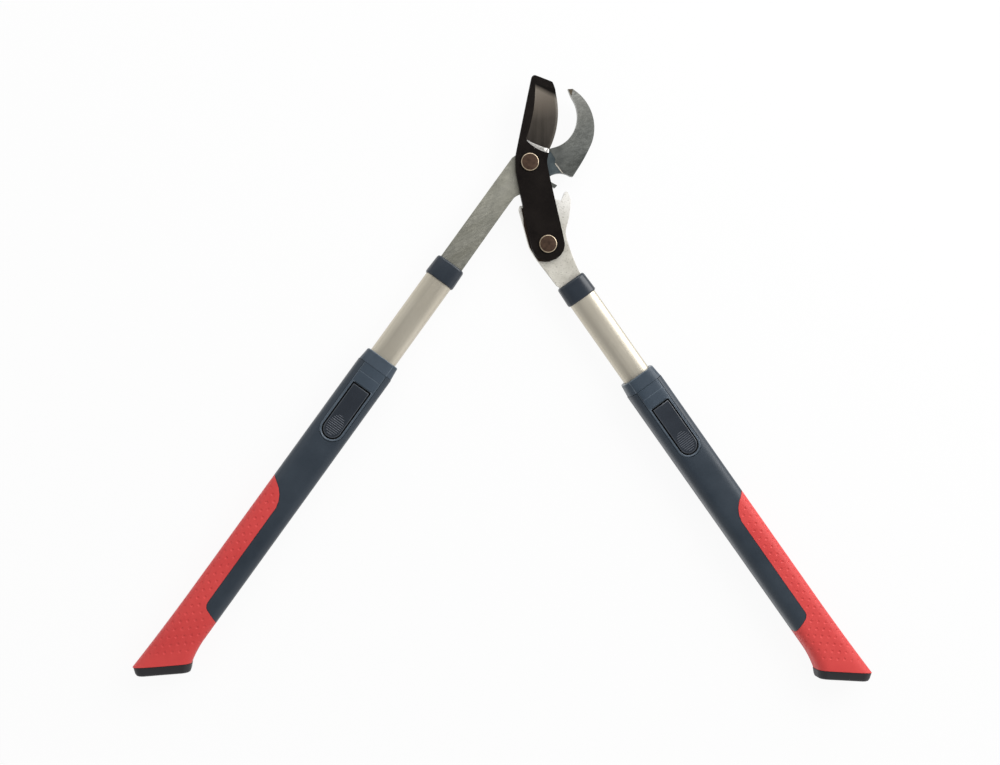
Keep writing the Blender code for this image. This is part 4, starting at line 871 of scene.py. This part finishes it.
# Handle shell and the lock housing with its parting lines
handle = {
    "half": 18.28,
    "deep": 15.98,
    "square": 4.0,
    "innerFlare": (414.0, 27.0, 4.0),  # where it starts, its length and its rise
    "outerFlare": (381.2, 90.0, 1.8),
    "flareEnd": 1.2,
    "stations": (381, 396, 408, 414, 418, 422, 426, 430, 434, 438, 442, 446.4, 460),
    "run": (105, 490),
    "edgeRounding": 0.2 * mm,
}
neck = (
    (109.22, 16.1, 16.1, 13.8, 4.0), (109.5, 16.5, 16.5, 14.2, 4.0), (110.1, 16.75, 16.75, 14.5, 4.0),
    (121.62, 17.9, 17.9, 15.6, 4.0),
)
housing = {
    "neckEnd": 121.7,
    "neckHalf": 16.8,
    "neckDeep": 14.5,
    "neckGrowth": 1.09,
    "neckRim": 0.7,  # from here outward the neck grows
    # Blocks that cut the parting lines, as centre and size
    "crossLine": ((0, -131.2, 14.5), (23.3, 0.8, 6)),
    "alongLine": ((11.85, -115.46, 12), (0.8, 13.5, 8)),
    "lineDepth": 0.18,
    # Lengths of the handle over which its surface is followed
    "panelRun": (121.75, 230),
    "stepRun": (118, 230),
    "crossRun": (125, 140),
    "neckBeyond": 5,
    "buttonEnds": (144.0, 198.0),
    "buttonHalf": 8.65,
    # Shapes round the button, as margin, low, high and top
    "pocket": (1.4, 13.6, 17),
    "ledge": (2.6, 9, 18),
    "border": (4.0, 9, 18, 122.3),
    "withinBorder": (2.75, 8, 19, 115),
    "stepDepth": 0.25,
    "shoulder": ((0, -119.35, 14.5), (26.4, 4.66, 3.8)),  # closes the wedges that growing the neck opens
}


def handleStations(first, last):
    def flare(at, flared):
        start, length, rise = flared
        return rise * min(handle["flareEnd"], max(0, at - start) / length) ** 2

    half, deep, square = handle["half"], handle["deep"], handle["square"]
    return [
        (at, half + flare(at, handle["outerFlare"]), half + flare(at, handle["innerFlare"]), deep, square)
        for at in [first] + [at for at in handle["stations"] if first < at < last] + [last]
    ]


def makeShell(sideName):
    bar = crownedBar(sideName, handleStations(*handle["run"]))
    shape = carve(local(sideName, "handle_shell"), bar, "INTERSECT")
    roundEdges(shape, handle["edgeRounding"], 2, 45)
    body = sideName + "_handle"
    return finishSide(sideName, "shell", "handle_shell", shape, body, ("shell",))


def buttonShape(margin, low, high, top=None):
    # Square at the top, round at the bottom, and wider than the button by a margin
    first, last = housing["buttonEnds"]
    half = housing["buttonHalf"] + margin
    middle = last - housing["buttonHalf"]
    top = top or first - margin
    turns = [math.pi * i / 24 for i in range(25)]
    foot = [(half * math.cos(a), -(middle + half * math.sin(a))) for a in turns]
    return extrudeOutline(plan((-half, -top), (half, -top), *foot), low * mm, high * mm)


def makeHousing(sideName):
    shape = local(sideName, "lock_housing")
    for vert in shape.verts:
        x, y, z = vert.co / mm
        rim = (abs(x) / housing["neckHalf"]) ** 4 + (abs(z) / housing["neckDeep"]) ** 4
        if y > -housing["neckEnd"] and rim > housing["neckRim"]:
            vert.co = Vector((x * housing["neckGrowth"], y, z * housing["neckGrowth"])) * mm
    panel = handleStations(*housing["panelRun"])
    shape = carve(shape, sawBlock(*housing["shoulder"]), "UNION")
    shape = carve(shape, crownedBar(sideName, list(neck) + panel), "INTERSECT")
    # The pocket's walls round the button are painted near-black as shade
    pocket = painted(buttonShape(*housing["pocket"]), 2)
    ledge = buttonShape(*housing["ledge"])
    border = carve(buttonShape(*housing["border"]), buttonShape(*housing["withinBorder"]))
    cross = sawBlock(*housing["crossLine"])
    (x, y, z), size = housing["alongLine"]
    along = sawBlock((-sides[sideName] * x, y, z), size)
    around = handleStations(*housing["stepRun"])
    across = handleStations(*housing["crossRun"])
    downNeck = ((neck[0][0] - housing["neckBeyond"], *neck[2][1:]),) + neck[2:] + (panel[-1],)
    # The steps round the button, the cross line and the line down the neck are painted lighter as highlights
    for cutter in (
        skimmed(sideName, ledge, around, housing["stepDepth"], 1),
        skimmed(sideName, border, around, housing["stepDepth"], 1),
        skimmed(sideName, cross, across, housing["lineDepth"], 1),
        skimmed(sideName, along, downNeck, housing["lineDepth"], 1),
        pocket,
    ):
        shape = carve(shape, cutter)
    # One cut leaves a sliver under the shoulder open
    bmesh.ops.holes_fill(shape, edges=[e for e in shape.edges if e.is_boundary], sides=8)
    # The neck's rim at the mouth is painted lighter as a highlight
    for made in shape.faces:
        if made.calc_center_median().y > -neck[2][0] * mm:
            made.material_index = 1
    body, materials = sideName + "_handle", ("panel", "panelHighlight", "gap")
    return finishSide(sideName, "housing", "lock_housing", shape, body, materials)


# Lock button with its ribbed thumb rest
button = {
    "top": 16.3,
    "edge": 0.75,
    "thumbAt": 185.2,
    "thumbHalf": 7.1,
    "thumbReach": 10.6,
    "thumbDepth": 0.5,
    "ribs": 11,
    "ribPitch": 1.93,
    "ribRadius": 0.46,
    # Room underneath for the leaf spring when the button is pressed
    "springSeat": ((0, -189.4, 13.7), (6.6, 13.8, 2.3)),
}


def makeButton(sideName):
    top = button["top"] * mm

    def topEdge(edge):
        return all(abs(v.co.z - top) < 0.02 * mm for v in edge.verts)

    # The top face's outline is bevelled, and the bevel is painted lighter as a highlight
    shape = roundEdges(local(sideName, "lock_button"), button["edge"] * mm, 2, 60, 2, topEdge)
    shape = carve(shape, sawBlock(*button["springSeat"]))
    dish = bmesh.new()
    height = Matrix.Translation((0, -button["thumbAt"] * mm, top - (button["thumbDepth"] - 1) * mm))
    size = Matrix.Diagonal((button["thumbHalf"] * mm, button["thumbReach"] * mm, 1, 1))
    bmesh.ops.create_cone(
        dish, cap_ends=True, segments=48, radius1=0.97, radius2=1.03, depth=2 * mm, matrix=height @ size
    )
    parts = [carve(shape, dish)]
    for i in range(button["ribs"]):
        offset = (i - (button["ribs"] - 1) / 2) * button["ribPitch"]
        chord = 2 * button["thumbHalf"] * math.sqrt(1 - (offset / button["thumbReach"]) ** 2)
        rib = bmesh.new()
        centre = Vector((0, offset - button["thumbAt"], button["top"] - button["ribRadius"])) * mm
        radius = button["ribRadius"] * mm
        place = Matrix.Translation(centre) @ Matrix.Rotation(math.pi / 2, 4, "Y")
        bmesh.ops.create_cone(
            rib, cap_ends=True, segments=12, radius1=radius, radius2=radius, depth=chord * mm, matrix=place
        )
        # Each rib is painted lighter as the glint on its rounded top
        parts.append(painted(rib, 1))
    shape, body, materials = gather(parts), sideName + "_button", ("button", "rib", "buttonHighlight")
    return finishSide(sideName, "button", "lock_button", shape, body, materials)


# Grip: moulded rubber with dimples set in quincunx
grip = {
    "halfWidth": 18.3,
    "halfDepth": 16.0,
    "corner": 9.0,
    "run": (200, 490),
    "topAt": 257.0,
    "endAt": 470.0,
    "cutAt": 441.0,
    "cutAngle": 39.5,
    "rows": range(-12, 11),
    "firstRow": 4.3,
    "rowSpacing": 5.23,
    "pitch": 8.9,
    "dimpleRadius": 2.8 * mm,
    "dimpleDepth": 0.55,
    "dimpleTop": 0.3 * mm,
    "margin": 2.6,
    "marginChecks": 8,
    "fade": (3, 16),  # dimples get shallower over this length and end this far from the cut
    "leastShare": 0.3,
    "edgeRounding": 0.35 * mm,
}


def roundSection(along):
    # The place and outward direction at a distance round the section from the middle of the front face
    flat = grip["halfWidth"] - grip["corner"]
    low = grip["halfDepth"] - grip["corner"]
    quarter = grip["corner"] * math.pi / 2
    way = 1 if along >= 0 else -1
    rest = abs(along)
    if rest < flat:
        return Vector((way * rest, grip["halfDepth"])), Vector((0, 1))
    rest -= flat
    if rest < quarter:
        out = Vector((way * math.sin(rest / grip["corner"]), math.cos(rest / grip["corner"])))
        return Vector((way * flat, low)) + out * grip["corner"], out
    rest -= quarter
    if rest < 2 * low:
        return Vector((way * grip["halfWidth"], low - rest)), Vector((way, 0))
    rest -= 2 * low
    if rest < quarter:
        out = Vector((way * math.cos(rest / grip["corner"]), -math.sin(rest / grip["corner"])))
        return Vector((way * flat, -low)) + out * grip["corner"], out
    rest -= quarter
    return Vector((way * (flat - rest), -grip["halfDepth"])), Vector((0, -1))


def makeDimple(depth):
    # The lowest cap of a ball, with its flat top just above the rubber
    bm = bmesh.new()
    bmesh.ops.create_uvsphere(bm, u_segments=12, v_segments=18, radius=grip["dimpleRadius"])
    bmesh.ops.translate(bm, verts=bm.verts, vec=(0, 0, grip["dimpleRadius"] - depth))
    return cutOff(bm, (0, 0, grip["dimpleTop"]), (0, 0, 1))


def makeGrip(sideName):
    side = sides[sideName]
    bar = crownedBar(sideName, handleStations(*grip["run"]))
    shape = carve(local(sideName, "grip"), bar, "INTERSECT")
    tree = BVHTree.FromBMesh(shape)

    def land(at, along):
        spot, out = roundSection(along)
        direction = Vector((side * out.x, 0, out.y))
        origin = Vector((side * spot.x * mm, -at * mm, spot.y * mm)) + direction * 12 * mm
        place, normal, index, distance = tree.ray_cast(origin, -direction, 13 * mm)
        flared = place is not None and abs(out.x) > 0.5 and abs(normal.y) > 0.1
        return None if flared else place, direction

    dimples = []
    for row in grip["rows"]:
        along = grip["firstRow"] + grip["rowSpacing"] * row
        at = grip["topAt"] + (grip["pitch"] / 2 if row % 2 else 0)
        while at < grip["endAt"]:
            place, direction = land(at, along)
            turns = [math.tau * i / grip["marginChecks"] for i in range(grip["marginChecks"])]
            around = [
                land(at + grip["margin"] * math.sin(a), along + grip["margin"] * math.cos(a))[0]
                for a in turns
            ]
            if place is not None and all(p is not None for p in around):
                inward = side * place.x / mm + grip["halfWidth"]
                cutEnd = grip["cutAt"] + inward * math.tan(math.radians(grip["cutAngle"]))
                gap, length = grip["fade"]
                share = min(1, (cutEnd - gap - at) / length)
                if share > grip["leastShare"]:
                    turn = direction.to_track_quat("Z", "Y").to_matrix().to_4x4()
                    dimple = makeDimple(grip["dimpleDepth"] * share * mm)
                    dimples.append(moved(dimple, Matrix.Translation(place) @ turn))
            at += grip["pitch"]
    print(sideName, "grip dimples:", len(dimples))
    roundEdges(shape, grip["edgeRounding"], 2, 50)
    shape = carve(shape, gather(dimples))
    body = sideName + "_handle"
    return finishSide(sideName, "rubber", "grip", shape, body, ("red",), 45)


# End cap: its outer end is drawn in towards the foot
cap = {
    "middle": (-1.1, -457.0),
    "angle": 39.5,
    "outerTop": (26.7, -0.5),
    "drawnIn": 5.9,
    "height": 8.1,
    "edgeRounding": 0.6 * mm,
}


def makeCap(sideName):
    side = sides[sideName]
    turn = Matrix.Rotation(-side * math.radians(cap["angle"]), 3, "Z")
    middle = Vector((side * cap["middle"][0], cap["middle"][1], 0)) * mm
    edge = middle + turn @ (Vector((side * cap["outerTop"][0], cap["outerTop"][1], 0)) * mm)
    out = turn @ Vector((side * cap["height"], -cap["drawnIn"], 0)).normalized()
    shape = roundEdges(cutOff(local(sideName, "end_cap"), edge, out), cap["edgeRounding"], 3, 28)
    body = sideName + "_handle"
    return finishSide(sideName, "foot", "end_cap", shape, body, ("cap",))


for sideName in sides:
    makeCollar(sideName)
    makeTube(sideName)
    makeShell(sideName)
    makeHousing(sideName)
    makeButton(sideName)
    makeGrip(sideName)
    makeCap(sideName)
    print(sideName, "handle dressed")

# Pieces that stay as the solids have them
inside = {
    "upper_pivot_bush": "bronze",
    "lower_pivot_bush": "bronze",
    "upper_spacer_ring": "bright",
    "lower_spacer_ring": "bright",
    "button_spring": "black",
    "hinge_pin": "black",
    "lock_pin": "bright",
    "upper_tang_pin": "bright",
    "lower_tang_pin": "bright",
    "tang_insert": "nylon",
    "tube_end_plug": "nylon",
    # painted near-black as the shade seen through the button's slot
    "outer_tube": "shadedTube",
}
for name, finishName in inside.items():
    for node in (name, "left_" + name, "right_" + name):
        if node in nodes:
            for slot in nodes[node].material_slots:
                slot.material = finishes[finishName]
print("inner pieces finished")


# Lights: a white studio with a wide lamp at the right and a weaker one at the left
lamps = {
    "right": {"at": (1.15, 0.75, 0.85), "size": 1.3, "power": 17},
    "left": {"at": (-1.4, 0.3, 1.0), "size": 1.0, "power": 1.5},
    "top": {"at": (0.1, 1.6, 1.3), "size": 1.2, "power": 9},
}
world = {"light": 0.52, "overhead": 0.3, "horizon": 1.0, "left": 0.6, "shown": 1.0}
fades = {"upward": (0.5, 0.97), "rightward": (-0.9, 0.1)}  # over these parts of each axis the studio changes
floorLook = {"size": 6.0, "below": 0.2 * mm, "colour": (0.86, 0.86, 0.86, 1), "roughness": 0.9, "glow": 0.93}


def makeLights():
    for name, lamp in lamps.items():
        data = bpy.data.lights.new(name + "Lamp", "AREA")
        data.shape = "DISK"
        data.size = lamp["size"]
        data.energy = lamp["power"]
        holder = addObject(name + "Lamp", data)
        holder.location = lamp["at"]
        aim = Vector((0, 0, 0)) - Vector(lamp["at"])
        holder.rotation_euler = aim.to_track_quat("-Z", "Y").to_euler()


def backgroundRays(tree):
    path = addNode(tree, "ShaderNodeLightPath")
    seen = mathNode(tree, "ADD", path.outputs["Is Camera Ray"], path.outputs["Is Glossy Ray"], True)
    return mathNode(tree, "ADD", seen, path.outputs["Is Transmission Ray"], True)


def makeWorld():
    made = bpy.data.worlds.new("studio")
    made.use_nodes = True
    tree = made.node_tree
    shader = tree.nodes["Background"]
    shader.inputs["Color"].default_value = (1, 1, 1, 1)
    # Overhead the studio is dim, and it is bright towards the horizon, less so at the left
    way = addNode(tree, "ShaderNodeTexCoord")
    split = addNode(tree, "ShaderNodeSeparateXYZ")
    link(tree, way.outputs["Generated"], split.inputs[0])
    soft = {"interpolation_type": "SMOOTHSTEP"}
    upward = spread(tree, split.outputs["Z"], *fades["upward"], world["horizon"], world["overhead"], **soft)
    rightward = spread(tree, split.outputs["X"], *fades["rightward"], world["left"], 1.0, **soft)
    seen = mathNode(tree, "MULTIPLY", upward, rightward)
    path = addNode(tree, "ShaderNodeLightPath")
    clear = mathNode(tree, "ADD", path.outputs["Is Glossy Ray"], path.outputs["Is Transmission Ray"], True)
    bounced = spread(tree, clear, 0.0, 1.0, world["light"], seen)
    strength = spread(tree, path.outputs["Is Camera Ray"], 0.0, 1.0, bounced, world["shown"])
    link(tree, strength, shader.inputs["Strength"])
    bpy.context.scene.world = made


def makeFloor():
    bm = bmesh.new()
    bmesh.ops.create_grid(bm, x_segments=1, y_segments=1, size=floorLook["size"])
    bmesh.ops.translate(bm, verts=bm.verts, vec=(0, 0, -floorLook["below"]))
    mesh = bpy.data.meshes.new("floor")
    bm.to_mesh(mesh)
    bm.free()
    floor = addObject("floor", mesh)
    material = bpy.data.materials.new("pale_floor")
    material.use_nodes = True
    tree = material.node_tree
    shader = tree.nodes["Principled BSDF"]
    shader.inputs["Base Color"].default_value = floorLook["colour"]
    shader.inputs["Roughness"].default_value = floorLook["roughness"]
    white = addNode(tree, "ShaderNodeEmission")
    blend = addNode(tree, "ShaderNodeMixShader")
    share = mathNode(tree, "MULTIPLY", backgroundRays(tree), floorLook["glow"])
    link(tree, share, blend.inputs["Fac"])
    link(tree, shader.outputs["BSDF"], blend.inputs[1])
    link(tree, white.outputs["Emission"], blend.inputs[2])
    link(tree, blend.outputs["Shader"], tree.nodes["Material Output"].inputs["Surface"])
    mesh.materials.append(material)


makeLights()
makeWorld()
makeFloor()
bpy.context.scene.view_settings.view_transform = "Standard"
print("studio lit")
